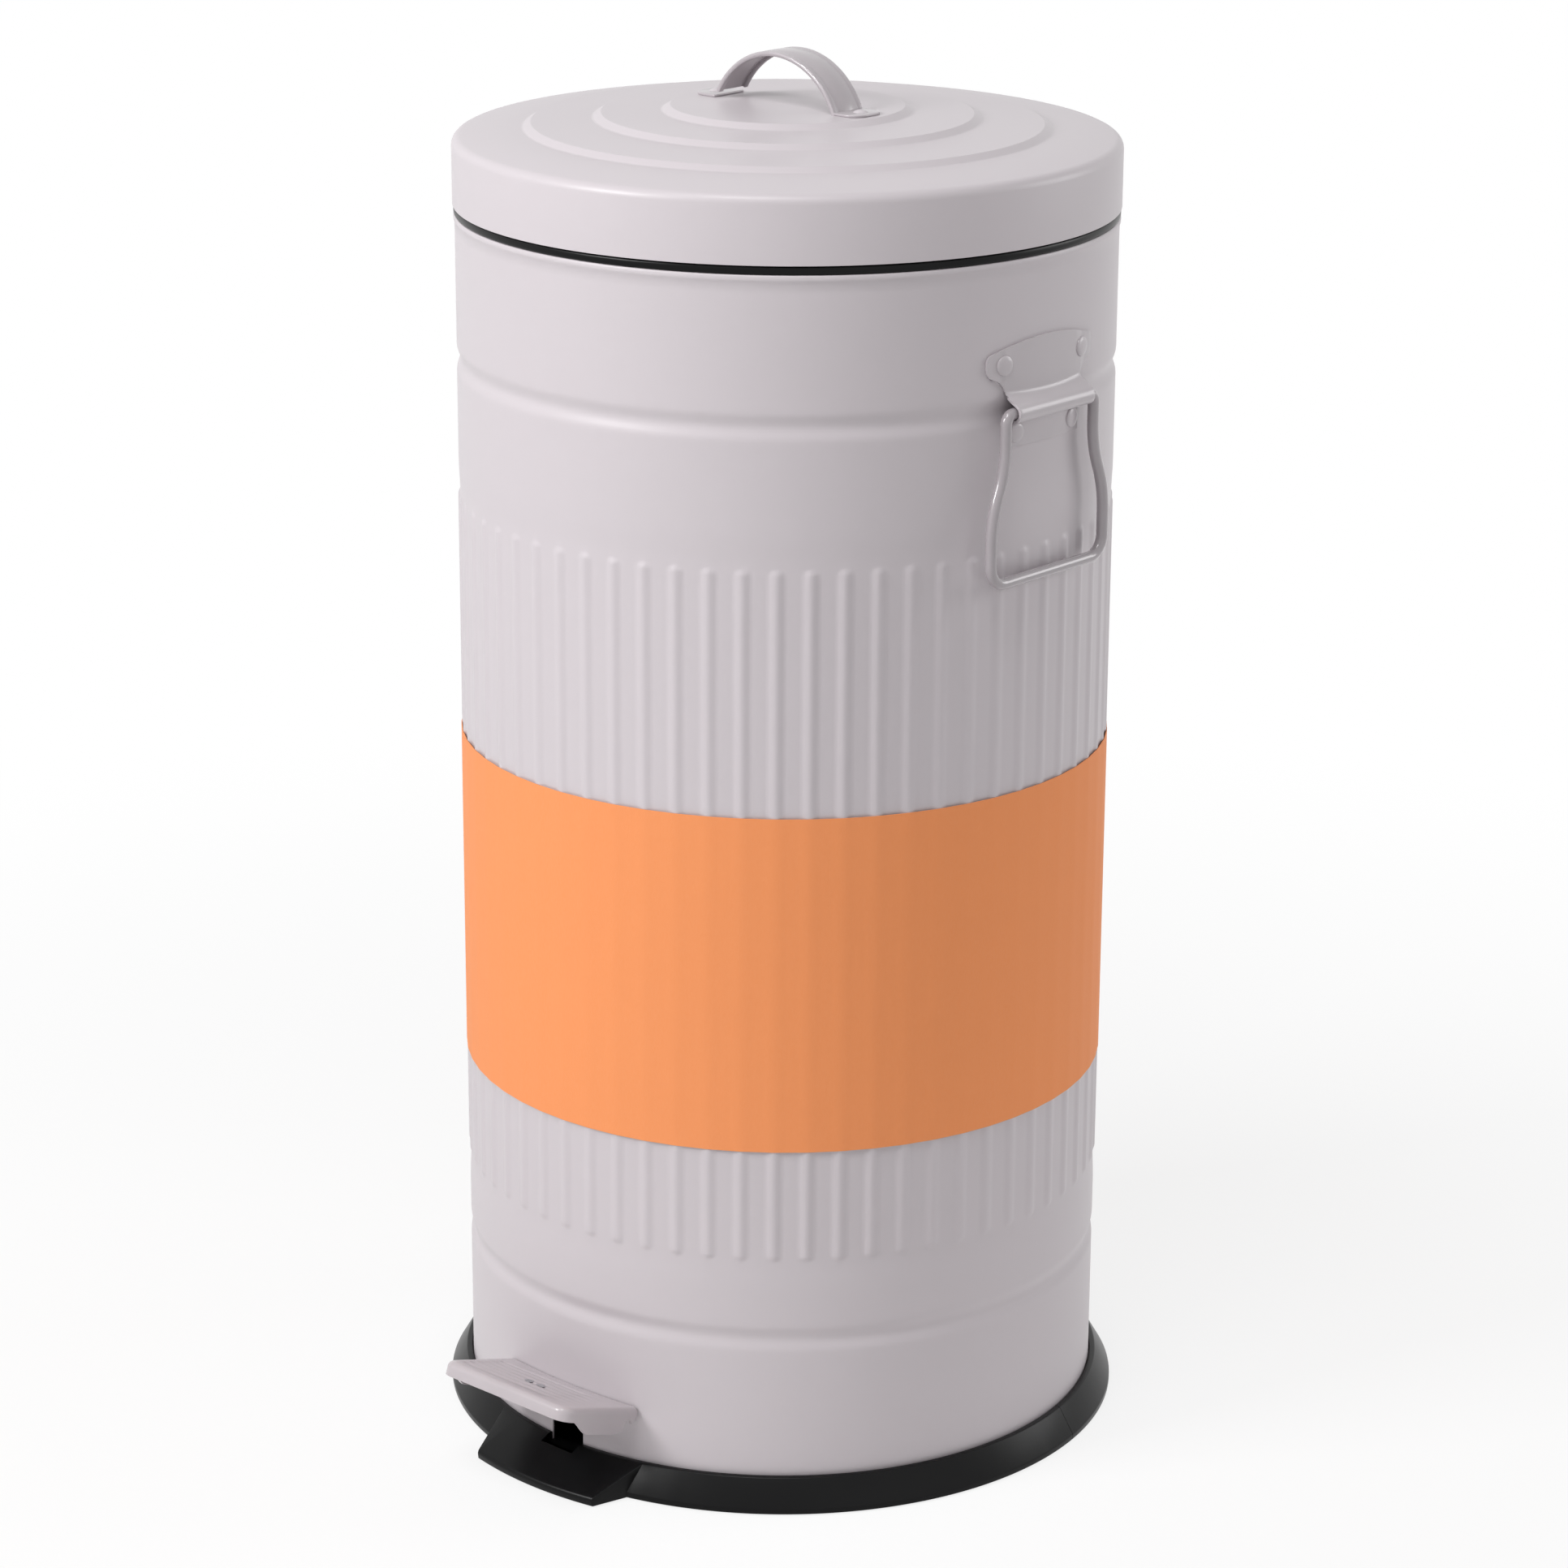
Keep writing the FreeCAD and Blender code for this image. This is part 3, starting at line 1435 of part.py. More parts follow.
def make_rod_clips():
    """Spring clips that keep both hooks in their holes."""
    body = new_body("rod_clips")
    lever_face = -size.lever_half_width - size.rod_side
    level(body, clip_outline(lever_face - size.seat_gap - size.clip_thickness, size.rod_radius), 0, 0)
    finger_face = size.arm_half - size.rod_side
    level(body, clip_outline(finger_face + size.seat_gap, size.rod_radius), 0, rod_length())
    rod_place(body)
    return body


def make_rod_guides():
    """Two bent tabs on the inside of the body, each with a hole for the rod."""
    body = new_body("rod_guides")
    outside = BODY_INSIDE - size.seat_gap
    inside = outside - size.guide_thickness
    half_turn = slope_turn(size.guide_half, outside)
    for height in guide_heights():
        rod_back = ROD_FOOT_BACK + (height - ROD_FOOT_HEIGHT) * tangent(ROD_LEAN)
        rod_out = root(rod_back * rod_back + size.rod_side * size.rod_side)
        turn = as_size(90) - slope_turn(size.rod_side, rod_back)
        tab = box_corners(rod_out - size.guide_reach, -size.guide_tab_half,
                          inside + size.guide_thickness / 2, size.guide_tab_half)
        pad(body, outline(body, "XY_Plane", tab, (0, 0, height), turn), size.guide_thickness, reverse=True)
        flange = box_corners(inside, height - size.guide_flange, outside, height)
        sketch = outline(body, "XZ_Plane", flange)
        spin_at(body, sketch, half_turn * 2, turn)
        upright(body, box_corners(0, height - size.guide_thickness * 2, size.rod_radius + size.guide_play,
                                  height + size.guide_thickness), size.rod_side, rod_back, cut=True)
        radial(body, hole_outline(inside - size.guide_thickness, outside + size.overrun, RIVET_HOLE),
               height - size.guide_flange / 2, guide_rivet_turn(), cut=True)
    return body


def spin_at(body, sketch, swing, turn):
    """Turns an upright outline about the body's axis, evenly to both sides of a turn from +X."""
    sketch.AttachmentOffset = FreeCAD.Placement(
        FreeCAD.Vector(), FreeCAD.Rotation(FreeCAD.Vector(0, 1, 0), turn.value))
    bind(sketch, "AttachmentOffset.Rotation.Angle", turn)
    return spin(body, sketch, "V_Axis", turn=swing)


def make_guide_rivets():
    body = new_body("guide_rivets")
    inner_face = BODY_INSIDE - size.seat_gap - size.guide_thickness - size.rivet_play
    shape = rivet_outline(inner_face, size.body_radius, size.small_rivet_head, size.small_rivet_dome)
    for height in guide_heights():
        radial(body, shape, height - size.guide_flange / 2, guide_rivet_turn())
    return body


# Base

def base_profile():
    """Moulded ring: outer skin, channel for the body's edge, spigot inside and a flange below."""
    spigot_outside = BODY_INSIDE - size.seat_gap
    spigot_inside = spigot_outside - size.base_spigot_thickness
    channel_outside = size.body_radius + size.base_channel_play
    flange_top = PLATE_TOP + size.base_flange_thickness
    skin = size.base_skin
    roof = size.body_foot - skin
    lip = size.base_bottom + size.base_lip
    return [
        (size.base_radius, size.base_bottom),
        (size.base_radius, lip),
        (size.base_top_radius, size.base_top),
        (channel_outside, size.base_top),
        (channel_outside, size.body_foot),
        (spigot_outside, size.body_foot),
        (spigot_outside, size.base_spigot_top),
        (spigot_inside, size.base_spigot_top),
        (spigot_inside, flange_top),
        (size.base_flange_radius, flange_top),
        (size.base_flange_radius, PLATE_TOP),
        (spigot_outside, PLATE_TOP),
        (spigot_outside, roof),
        (size.base_top_radius - skin / 2, roof),
        (size.base_radius - skin, lip),
        (size.base_radius - skin, size.base_bottom),
    ]


def make_base_front():
    """Front part of the base ring, drawn with its middle on +X and then turned to the front."""
    body = new_body("base_front")
    spin(body, outline(body, "XZ_Plane", base_profile()), turn=size.base_front_turn - size.base_seam)
    add_toe(body)
    start = BODY_INSIDE - size.base_spigot_thickness - size.overrun
    notch = box_corners(-size.lever_slot_half, size.body_foot, size.lever_slot_half,
                        size.base_spigot_top + size.overrun)
    pocket(body, outline(body, "YZ_Plane", notch, (0, 0, start)), size.overrun * 2, reverse=True)
    drill_flange(body, (size.screw_first_turn, size.screw_second_turn))
    place(body, turn=as_size(-90))
    return body


def add_toe(body):
    """Hollow bulge under the pedal, with its ends slanted back to the ring."""
    skin = size.base_skin
    crest = TOE_RADIUS - size.toe_lip + size.toe_lip / 4
    slope = (size.base_top - size.toe_crest) / (crest - size.base_top_radius)
    under = skin * root(slope * slope + 1)
    inner = TOE_RADIUS - skin
    toe_lip = size.base_bottom + size.toe_lip
    section = [
        (size.base_top_radius, size.base_top),
        (size.base_top_radius, size.base_top - under),
        (inner, size.base_top - slope * (inner - size.base_top_radius) - under),
        (inner, size.base_bottom),
        (TOE_RADIUS, size.base_bottom),
        (TOE_RADIUS, toe_lip),
        (crest, size.toe_crest),
    ]
    spin(body, outline(body, "XZ_Plane", section), turn=size.toe_turn * 2)
    near = size.base_radius + size.seat_gap
    far = TOE_RADIUS + size.overrun
    first = (near * cosine(size.toe_turn), near * sine(size.toe_turn))
    corner = (TOE_RADIUS * cosine(size.toe_corner_turn), TOE_RADIUS * sine(size.toe_corner_turn))
    beyond = (corner[0] * 2 - first[0], corner[1] * 2 - first[1])
    waste = [first, beyond, (far, far * sine(size.toe_turn)), (first[0], far * sine(size.toe_turn))]
    cut = pocket(body, outline(body, "XY_Plane", waste), size.base_top * 2, both_ways=True)
    mirror(body, [cut], "XZ_Plane")


def drill_flange(body, turns):
    """Blind screw holes in the flange, evenly to both sides of the body's +X."""
    top = PLATE_TOP + size.screw_bite
    for turn in turns:
        for sign in (-1, 1):
            upright(body, box_corners(0, PLATE_TOP - size.overrun, size.screw_shank + size.rivet_play, top),
                    size.screw_circle * cosine(turn), size.screw_circle * sine(turn) * sign, cut=True)


def make_base_rear():
    """Rear part of the base ring, with the flange cut away round the lever's rear eye."""
    body = new_body("base_rear")
    turn = as_size(360) - size.base_front_turn - size.base_seam
    spin(body, outline(body, "XZ_Plane", base_profile()), turn=turn)
    half = size.rod_foot_hook - size.seat_gap * 2
    start = size.base_flange_radius - size.overrun
    inner = BODY_INSIDE - size.seat_gap - size.base_spigot_thickness
    gap = box_corners(start, -half, inner, half)
    pocket(body, outline(body, "XY_Plane", gap, (0, 0, PLATE_TOP)), size.base_flange_thickness * 2,
           reverse=True)
    drill_flange(body, (as_size(180) - size.screw_third_turn, as_size(180) - size.screw_fourth_turn))
    place(body, turn=as_size(90))
    return body


def screw_spots():
    """Side and back place of each screw in the base."""
    spots = []
    turns = (size.screw_first_turn, size.screw_second_turn, size.screw_third_turn, size.screw_fourth_turn)
    for turn in turns:
        for sign in (-1, 1):
            spots.append((size.screw_circle * sine(turn) * sign, -size.screw_circle * cosine(turn)))
    return spots


def make_base_plate():
    """Floor of the base, screwed up against the ring's flange."""
    body = new_body("base_plate")
    sketch = new_sketch(body, "XY_Plane", (0, 0, size.plate_low))
    draw_circle(sketch, 0, 0, size.floor_radius)
    DOCUMENT.recompute()
    pad(body, sketch, size.plate_sheet)
    sketch = new_sketch(body, "XY_Plane", (0, 0, size.plate_low))
    for side, back in screw_spots():
        draw_circle(sketch, side, back, size.screw_shank + size.rivet_play)
    for side, back in fulcrum_rivet_spots():
        draw_circle(sketch, side, back, RIVET_HOLE)
    DOCUMENT.recompute()
    pocket(body, sketch, size.plate_sheet * 2, reverse=True)
    return body


def make_base_screws():
    body = new_body("base_screws")
    head = size.plate_low - size.screw_head_height
    shape = [
        (0, head),
        (size.screw_head, head),
        (size.screw_head, size.plate_low),
        (size.screw_shank, size.plate_low),
        (size.screw_shank, PLATE_TOP + size.screw_bite - size.rivet_play),
        (0, PLATE_TOP + size.screw_bite - size.rivet_play),
    ]
    for side, back in screw_spots():
        upright(body, shape, side, back)
    return body


def make_rubber_feet():
    """Pads under the floor plate: one in the middle below the fulcrum and four near the rim."""
    body = new_body("rubber_feet")
    edge = size.foot_edge
    shape = [
        (0, 0),
        (size.foot_radius - edge, 0),
        (size.foot_radius, edge, edge),
        (size.foot_radius, size.plate_low),
        (0, size.plate_low),
    ]
    upright(body, box_corners(0, 0, size.middle_foot_radius, size.plate_low), 0, 0)
    reach = size.foot_circle * sine(as_size(45))
    for side in (-1, 1):
        for back in (-1, 1):
            upright(body, shape, reach * side, reach * back)
    return body


# Bucket

def make_inner_bucket():
    """Tapered bucket that hangs by its rim on the black ring."""
    body = new_body("inner_bucket")
    wall = size.bucket_wall
    corner = size.bucket_corner
    low = size.bucket_low
    rim_low = RING_TOP
    rim_top = rim_low + size.bucket_rim_thickness
    bottom = size.bucket_bottom_radius
    top = size.bucket_top_radius
    outer = [
        (0, low),
        (bottom - corner, low),
        (bottom, low + corner, corner),
        (top, rim_low),
        (size.bucket_rim_radius, rim_low),
        (size.bucket_rim_radius, rim_top),
        (0, rim_top),
    ]
    spin(body, outline(body, "XZ_Plane", outer))
    hollow = [
        (0, low + wall),
        (bottom - corner, low + wall),
        (bottom - wall, low + corner, corner - wall),
        (top - wall, rim_top),
        (top - wall, rim_top + size.overrun),
        (0, rim_top + size.overrun),
    ]
    spin(body, outline(body, "XZ_Plane", hollow), cut=True)
    half = size.bucket_notch_half
    notch = box_corners(-half, size.bucket_notch_radius, half, size.bucket_rim_radius + size.overrun)
    pocket(body, outline(body, "XY_Plane", notch, (0, 0, rim_low)), size.bucket_rim_thickness * 2,
           reverse=True)
    level(body, hole_outline(-size.bucket_rim_radius, size.bucket_rim_radius,
                             size.bucket_bail_wire + size.pin_play), 0, bucket_bail_height(), cut=True)
    return body


def bucket_bail_height():
    return RING_TOP + size.bucket_rim_thickness - size.bucket_bail_drop


def make_bucket_bail():
    """Wire bail that lies inside the bucket's mouth, its hooks out through the wall."""
    body = new_body("bucket_bail")
    radius = size.bucket_bail_radius
    bend = size.bucket_bail_bend
    path = [
        (0, -radius),
        (radius, 0, radius),
        (radius + bend, bend, -bend),
        (radius + bend + size.bucket_bail_hook, bend),
    ]
    spine = new_sketch(body, "XY_Plane")
    draw_loop(spine, path, closed=False)
    section = new_sketch(body, "YZ_Plane")
    draw_circle(section, -radius, 0, size.bucket_bail_wire)
    DOCUMENT.recompute()
    half = body.newObject("PartDesign::AdditivePipe", body.Label + "_sweep")
    half.Profile = section
    half.Spine = spine
    half.Refine = False
    DOCUMENT.recompute()
    mirror(body, [half], "YZ_Plane")
    place(body, (0, -bend, bucket_bail_height()))
    return body


def make_all():
    """Every piece of the bin, in the order in which it goes together."""
    half_turn = as_size(180)
    return [
        make_body_shell(),
        make_wrap_band(),
        make_top_rim_ring(),
        make_base_front(),
        make_base_rear(),
        make_base_plate(),
        make_base_screws(),
        make_rubber_feet(),
        make_fulcrum_bracket(),
        make_fulcrum_rivets(),
        make_fulcrum_pin(),
        make_fulcrum_clip(),
        make_pedal_stop(),
        make_pedal_lever(),
        make_pedal_plate(),
        make_pedal_rivets(),
        make_push_rod(),
        make_rod_clips(),
        make_rod_guides(),
        make_guide_rivets(),
        make_hinge_bracket(),
        make_hinge_rivets(),
        make_hinge_pin(),
        make_hinge_clip(),
        make_lid_shell(),
        make_lid_hinge_arm(),
        make_lid_hinge_rivets(),
        make_lid_handle(),
        make_lid_handle_rivets(),
        make_handle_bracket("right_handle_bracket", None),
        make_handle_rivets("right_handle_rivets", None),
        make_bail("right_bail", None),
        make_handle_bracket("left_handle_bracket", half_turn),
        make_handle_rivets("left_handle_rivets", half_turn),
        make_bail("left_bail", half_turn),
        make_inner_bucket(),
        make_bucket_bail(),
    ]


def check_all(pieces):
    """Stops if anything failed, is not a valid solid, or is a cut that removed nothing."""
    DOCUMENT.recompute()
    for thing in DOCUMENT.Objects:
        if "Invalid" in thing.State or "Error" in thing.State:
            raise RuntimeError("%s failed: %s" % (thing.Name, thing.State))
    for piece in pieces:
        if piece.Shape.isNull() or not piece.Shape.isValid() or not piece.Shape.Solids:
            raise RuntimeError("%s has no valid solid" % piece.Label)
    for cut in CUTS:
        if cut.Shape.Volume >= cut.BaseFeature.Shape.Volume:
            raise RuntimeError("%s removes nothing" % cut.Name)


def write_all(pieces):
    os.makedirs("parts", exist_ok=True)
    for piece in pieces:
        piece.Shape.exportStep("parts/%s.step" % piece.Label)
        box = piece.Shape.BoundBox
        print("%-22s %2d solids %10.1f mm3  x %.1f..%.1f y %.1f..%.1f z %.1f..%.1f" % (
            piece.Label, len(piece.Shape.Solids), piece.Shape.Volume,
            box.XMin, box.XMax, box.YMin, box.YMax, box.ZMin, box.ZMax))
    print("lever travel %.4f degrees, rod lean %.4f degrees" % (lever_travel().value, ROD_LEAN.value))
    print("crank radius %.3f, rod foot %.3f %.3f, rod head %.3f %.3f" % (
        CRANK_RADIUS.value, ROD_FOOT_BACK.value, ROD_FOOT_HEIGHT.value,
        ROD_HEAD_BACK.value, ROD_HEAD_HEIGHT.value))


PIECES = make_all()
check_all(PIECES)
write_all(PIECES)
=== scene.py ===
"""Pedal bin: the dressed pieces, their finishes, the studio and the camera."""

import json
import logging
import math
from collections.abc import Callable, Sequence
from dataclasses import dataclass, replace
from enum import Enum

import bmesh
import bpy
from mathutils import Matrix, Vector


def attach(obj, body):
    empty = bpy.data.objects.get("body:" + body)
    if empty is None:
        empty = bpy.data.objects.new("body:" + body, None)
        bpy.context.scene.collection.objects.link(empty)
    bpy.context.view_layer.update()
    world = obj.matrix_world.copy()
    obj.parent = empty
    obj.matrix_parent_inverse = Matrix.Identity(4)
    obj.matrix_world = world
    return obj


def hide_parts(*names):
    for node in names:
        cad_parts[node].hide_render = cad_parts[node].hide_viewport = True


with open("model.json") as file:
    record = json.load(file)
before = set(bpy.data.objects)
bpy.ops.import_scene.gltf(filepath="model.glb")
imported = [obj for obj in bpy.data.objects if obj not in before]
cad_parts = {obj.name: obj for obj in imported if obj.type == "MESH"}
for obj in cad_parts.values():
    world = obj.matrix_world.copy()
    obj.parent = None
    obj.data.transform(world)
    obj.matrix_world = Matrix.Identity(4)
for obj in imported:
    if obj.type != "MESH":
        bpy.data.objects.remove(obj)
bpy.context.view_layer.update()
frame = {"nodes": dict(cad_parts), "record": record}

LOG = logging.getLogger("pedal_bin")
METRES_PER_MM = 0.001
WELD = 0.002
SAME_PLACE = 0.01
ORIGIN = (0.0, 0.0, 0.0)
UPRIGHT = (0.0, 0.0, 1.0)
INSIDE_BODY = 130.0
OUTSIDE_BODY = 160.0
ABOVE_BODY = 600.0
Corner = tuple[float, ...]
Colour = tuple[float, float, float]
Piece = bpy.types.Object
Node = bpy.types.Node
Socket = bpy.types.NodeSocket


def linear(red: int, green: int, blue: int) -> Colour:
    """Turns a screen colour into the linear one that a shader takes.

    Args:
        red: Red from 0 to 255.
        green: Green from 0 to 255.
        blue: Blue from 0 to 255.

    Returns:
        The linear colour.
    """
    def channel(value: int) -> float:
        """One channel of the colour."""
        share = value / 255
        return share / 12.92 if share <= 0.04045 else ((share + 0.055) / 1.055) ** 2.4
    return (channel(red), channel(green), channel(blue))


class Slot(Enum):
    """The record's material slots."""

    PAINT = "painted_steel"
    BAND = "orange_band"
    PLASTIC = "black_plastic"
    PEDAL = "grey_pedal"
    ZINC = "zinc_steel"
    RUBBER = "rubber"


def rounded(corners: Sequence[Corner], steps: int = 5, closed: bool = False) -> list[tuple[float, float]]:
    """Rounds the corners of an outline that carry a third number, their radius.

    Args:
        corners: (across, up) or (across, up, radius) for each corner.
        steps: Edges in each rounding.
        closed: Whether the last corner joins the first.

    Returns:
        The points of the outline.
    """
    points: list[tuple[float, float]] = []
    count = len(corners)
    for number, corner in enumerate(corners):
        middle = Vector(corner[:2])
        at_end = not closed and number in (0, count - 1)
        if len(corner) < 3 or at_end:
            points.append(tuple(middle))
            continue
        back = (Vector(corners[number - 1][:2]) - middle).normalized()
        ahead = (Vector(corners[(number + 1) % count][:2]) - middle).normalized()
        half = back.angle(ahead) / 2
        reach = corner[2] / math.tan(half)
        centre = middle + (back + ahead).normalized() * (corner[2] / math.sin(half))
        first = middle + back * reach - centre
        last = middle + ahead * reach - centre
        sweep = first.angle(last)
        for step in range(steps + 1):
            share = step / steps
            spoke = (first * math.sin((1 - share) * sweep) + last * math.sin(share * sweep)) / math.sin(sweep)
            points.append(tuple(centre + spoke))
    return points


def on_meridian(turn: float, profile: Sequence[Corner]) -> list[Vector]:
    """Places of (radius, height) points at a turn in radians from the front towards the right."""
    side = Vector((math.sin(turn), -math.cos(turn), 0.0))
    return [side * radius + Vector((0.0, 0.0, height)) for radius, height in profile]


class Bench:
    """Edit-mode modelling by operators, in millimetres until a piece is finished."""

    @staticmethod
    def clear() -> None:
        """Leaves edit mode and deselects every object."""
        if bpy.context.object and bpy.context.object.mode != "OBJECT":
            bpy.ops.object.mode_set(mode="OBJECT")
        bpy.ops.object.select_all(action="DESELECT")

    @staticmethod
    def focus(piece: Piece) -> None:
        """Makes a piece the only one that is selected and active, in object mode.

        Args:
            piece: The object.
        """
        Bench.clear()
        piece.select_set(True)
        bpy.context.view_layer.objects.active = piece

    @staticmethod
    def edit(piece: Piece) -> None:
        """Makes a piece the one that is worked on, in edit mode.

        Args:
            piece: The object.
        """
        Bench.focus(piece)
        bpy.ops.object.mode_set(mode="EDIT")
        bpy.ops.mesh.select_mode(type="VERT")

    @staticmethod
    def chain(name: str, points: Sequence[Vector]) -> Piece:
        """Draws a chain of edges, by extruding one vertex from point to point.

        Args:
            name: Name of the new object.
            points: The places of its vertices.

        Returns:
            The object, in edit mode with its last vertex selected.
        """
        Bench.clear()
        bpy.ops.mesh.primitive_plane_add(size=1.0, location=ORIGIN)
        piece = bpy.context.object
        piece.name = name
        Bench.edit(piece)
        Bench.everything()
        bpy.ops.mesh.merge(type="CENTER")
        bpy.ops.transform.translate(value=points[0])
        for before, after in zip(points, points[1:]):
            bpy.ops.mesh.extrude_vertices_move(TRANSFORM_OT_translate={"value": after - before})
        return piece

    @staticmethod
    def pick(piece: Piece, where: Callable[[Vector], bool]) -> int:
        """Selects the vertices whose places pass a test.

        Args:
            piece: Object in edit mode.
            where: The test of a place.

        Returns:
            How many vertices are selected.
        """
        bpy.ops.mesh.select_mode(type="VERT")
        return Bench.mark(piece, lambda mesh: [vertex for vertex in mesh.verts if where(vertex.co)])

    @staticmethod
    def pick_faces(piece: Piece, where: Callable[[Vector, Vector], bool]) -> int:
        """Selects the faces whose middle and normal pass a test.

        Args:
            piece: Object in edit mode.
            where: The test of a middle and a normal.

        Returns:
            How many faces are selected.
        """
        bpy.ops.mesh.select_mode(type="FACE")
        return Bench.mark(piece, lambda mesh: [face for face in mesh.faces
                                               if where(face.calc_center_median(), face.normal)])

    @staticmethod
    def mark(piece: Piece, choose: Callable[[bmesh.types.BMesh], list]) -> int:
        """Selects some vertices or faces and nothing else.

        Args:
            piece: Object in edit mode.
            choose: Lists what to select in the mesh.

        Returns:
            How many are selected.
        """
        bpy.ops.mesh.select_all(action="DESELECT")
        mesh = bmesh.from_edit_mesh(piece.data)
        chosen = choose(mesh)
        for element in chosen:
            element.select = True
        mesh.select_flush(True)
        bmesh.update_edit_mesh(piece.data)
        return len(chosen)

    @staticmethod
    def everything() -> None:
        """Selects the whole mesh, by its vertices."""
        bpy.ops.mesh.select_mode(type="VERT")
        bpy.ops.mesh.select_all(action="SELECT")

    @staticmethod
    def merge() -> None:
        """Merges doubled vertices of the whole mesh."""
        Bench.everything()
        bpy.ops.mesh.remove_doubles(threshold=WELD)

    @staticmethod
    def weld() -> None:
        """Merges doubled vertices of the whole mesh, and turns its faces outwards."""
        Bench.merge()
        bpy.ops.mesh.normals_make_consistent(inside=False)

    @staticmethod
    def cap() -> None:
        """Closes every open end of the mesh with a face, and turns its faces outwards."""
        Bench.everything()
        bpy.ops.mesh.fill_holes(sides=0)
        Bench.weld()

    @staticmethod
    def spin(steps: int, turn: float, axis: Corner = UPRIGHT, repeat: bool = False) -> None:
        """Spins the whole mesh about an axis through the origin, or repeats it round that axis."""
        Bench.everything()
        bpy.ops.mesh.spin(steps=steps, angle=turn, dupli=repeat, center=ORIGIN, axis=axis)

    @staticmethod
    def scale(across: float, up: float) -> None:
        """Scales what is selected from the origin, across and upwards."""
        bpy.ops.transform.resize(value=(across, across, up), center_override=ORIGIN)

    @staticmethod
    def face_along(piece: Piece, axis: int) -> None:
        """Turns the faces of an open sheet so that they look along an axis.

        Args:
            piece: Object in edit mode.
            axis: 0, 1 or 2 for X, Y or Z.
        """
        Bench.everything()
        bpy.ops.mesh.normals_make_consistent(inside=False)
        mesh = bmesh.from_edit_mesh(piece.data)
        if sum(face.normal[axis] * face.calc_area() for face in mesh.faces) < 0:
            bpy.ops.mesh.flip_normals()

    @staticmethod
    def lathe(name: str, profile: Sequence[tuple[float, float]], columns: int,
              first: float = 0.0, turn: float = 360.0) -> Piece:
        """Spins a closed profile about the upright axis.

        Args:
            name: Name of the new object.
            profile: (radius, height) of each point, the last one joined to the first.
            columns: Steps of the spin.
            first: Where the spin starts, in degrees from the front towards the right.
            turn: How far it goes, in degrees.

        Returns:
            The object, in edit mode, closed and with its faces outwards.
        """
        points = on_meridian(math.radians(first), profile)
        piece = Bench.chain(name, points + points[:1])
        Bench.merge()
        Bench.spin(columns, -math.radians(turn))
        Bench.weld()
        if turn < 360.0:
            Bench.cap()
        return piece

    @staticmethod
    def window(piece: Piece, low: Vector, high: Vector, margin: float = 12.0) -> None:
        """Cuts a window through a shell, along the sides of an upright box.

        Args:
            piece: Object in edit mode.
            low: Lowest corner of the box.
            high: Highest corner of the box.
            margin: How far round the box the faces are cut.
        """
        def near(middle: Vector, spare: float) -> bool:
            """Whether a place is in the box or this near to it."""
            return all(low[axis] - spare <= middle[axis] <= high[axis] + spare for axis in range(3))
        for axis in (0, 2):
            for corner in (low, high):
                Bench.pick_faces(piece, lambda middle, _: near(middle, margin))
                bpy.ops.mesh.bisect(plane_co=corner, plane_no=Matrix.Identity(3)[axis])
        if Bench.pick_faces(piece, lambda middle, _: near(middle, 0.0)):
            bpy.ops.mesh.delete(type="FACE")

    @staticmethod
    def sheet(name: str, outline: Sequence[Vector]) -> Piece:
        """Fills a closed outline with one face.

        Args:
            name: Name of the new object.
            outline: The outline's points, in order.

        Returns:
            The object, in edit mode.
        """
        piece = Bench.chain(name, [*outline, outline[0]])
        Bench.merge()
        bpy.ops.mesh.edge_face_add()
        return piece

    @staticmethod
    def slices(axis: int, places: Sequence[float]) -> None:
        """Cuts lines across the whole mesh, square to an axis.

        Args:
            axis: 0, 1 or 2 for X, Y or Z.
            places: Where the lines are along that axis.
        """
        normal = Matrix.Identity(3)[axis]
        for place in places:
            Bench.everything()
            bpy.ops.mesh.bisect(plane_co=normal * place, plane_no=normal)

    @staticmethod
    def shift(piece: Piece, move: Vector, where: Callable[[Vector], bool]) -> None:
        """Moves the vertices whose places pass a test."""
        if Bench.pick(piece, where):
            bpy.ops.transform.translate(value=move)

    @staticmethod
    def place(piece: Piece, matrix: Matrix) -> None:
        """Moves and turns a piece, and leaves its object unturned at the origin.

        Args:
            piece: The object.
            matrix: Where it goes.
        """
        Bench.focus(piece)
        piece.matrix_world = matrix
        bpy.ops.object.transform_apply(location=True, rotation=True, scale=True)

    @staticmethod
    def copies(piece: Piece, places: Sequence[Matrix]) -> Piece:
        """Sets copies of a piece at several places and joins them into one object.

        Args:
            piece: The piece, used up by this.
            places: A matrix for each copy.

        Returns:
            The joined object.
        """
        Bench.clear()
        made = []
        for matrix in places:
            twin = piece.copy()
            twin.data = piece.data.copy()
            bpy.context.scene.collection.objects.link(twin)
            Bench.place(twin, matrix)
            made.append(twin)
        name = piece.name
        bpy.data.objects.remove(piece)
        return Bench.join(made, name)

    @staticmethod
    def join(pieces: Sequence[Piece], name: str) -> Piece:
        """Joins pieces into one object.

        Args:
            pieces: The objects, used up by this.
            name: Name of the joined object.

        Returns:
            The joined object.
        """
        Bench.clear()
        for piece in pieces:
            piece.select_set(True)
        bpy.context.view_layer.objects.active = pieces[0]
        bpy.ops.object.join()
        pieces[0].name = name
        return pieces[0]

    @staticmethod
    def modify(piece: Piece, kind: str, **settings: object) -> None:
        """Adds a modifier and applies it.

        Args:
            piece: The object.
            kind: The modifier's type.
            settings: Its properties.
        """
        Bench.focus(piece)
        modifier = piece.modifiers.new(kind.lower(), kind)
        for name, value in settings.items():
            setattr(modifier, name, value)
        bpy.ops.object.modifier_apply(modifier=modifier.name)

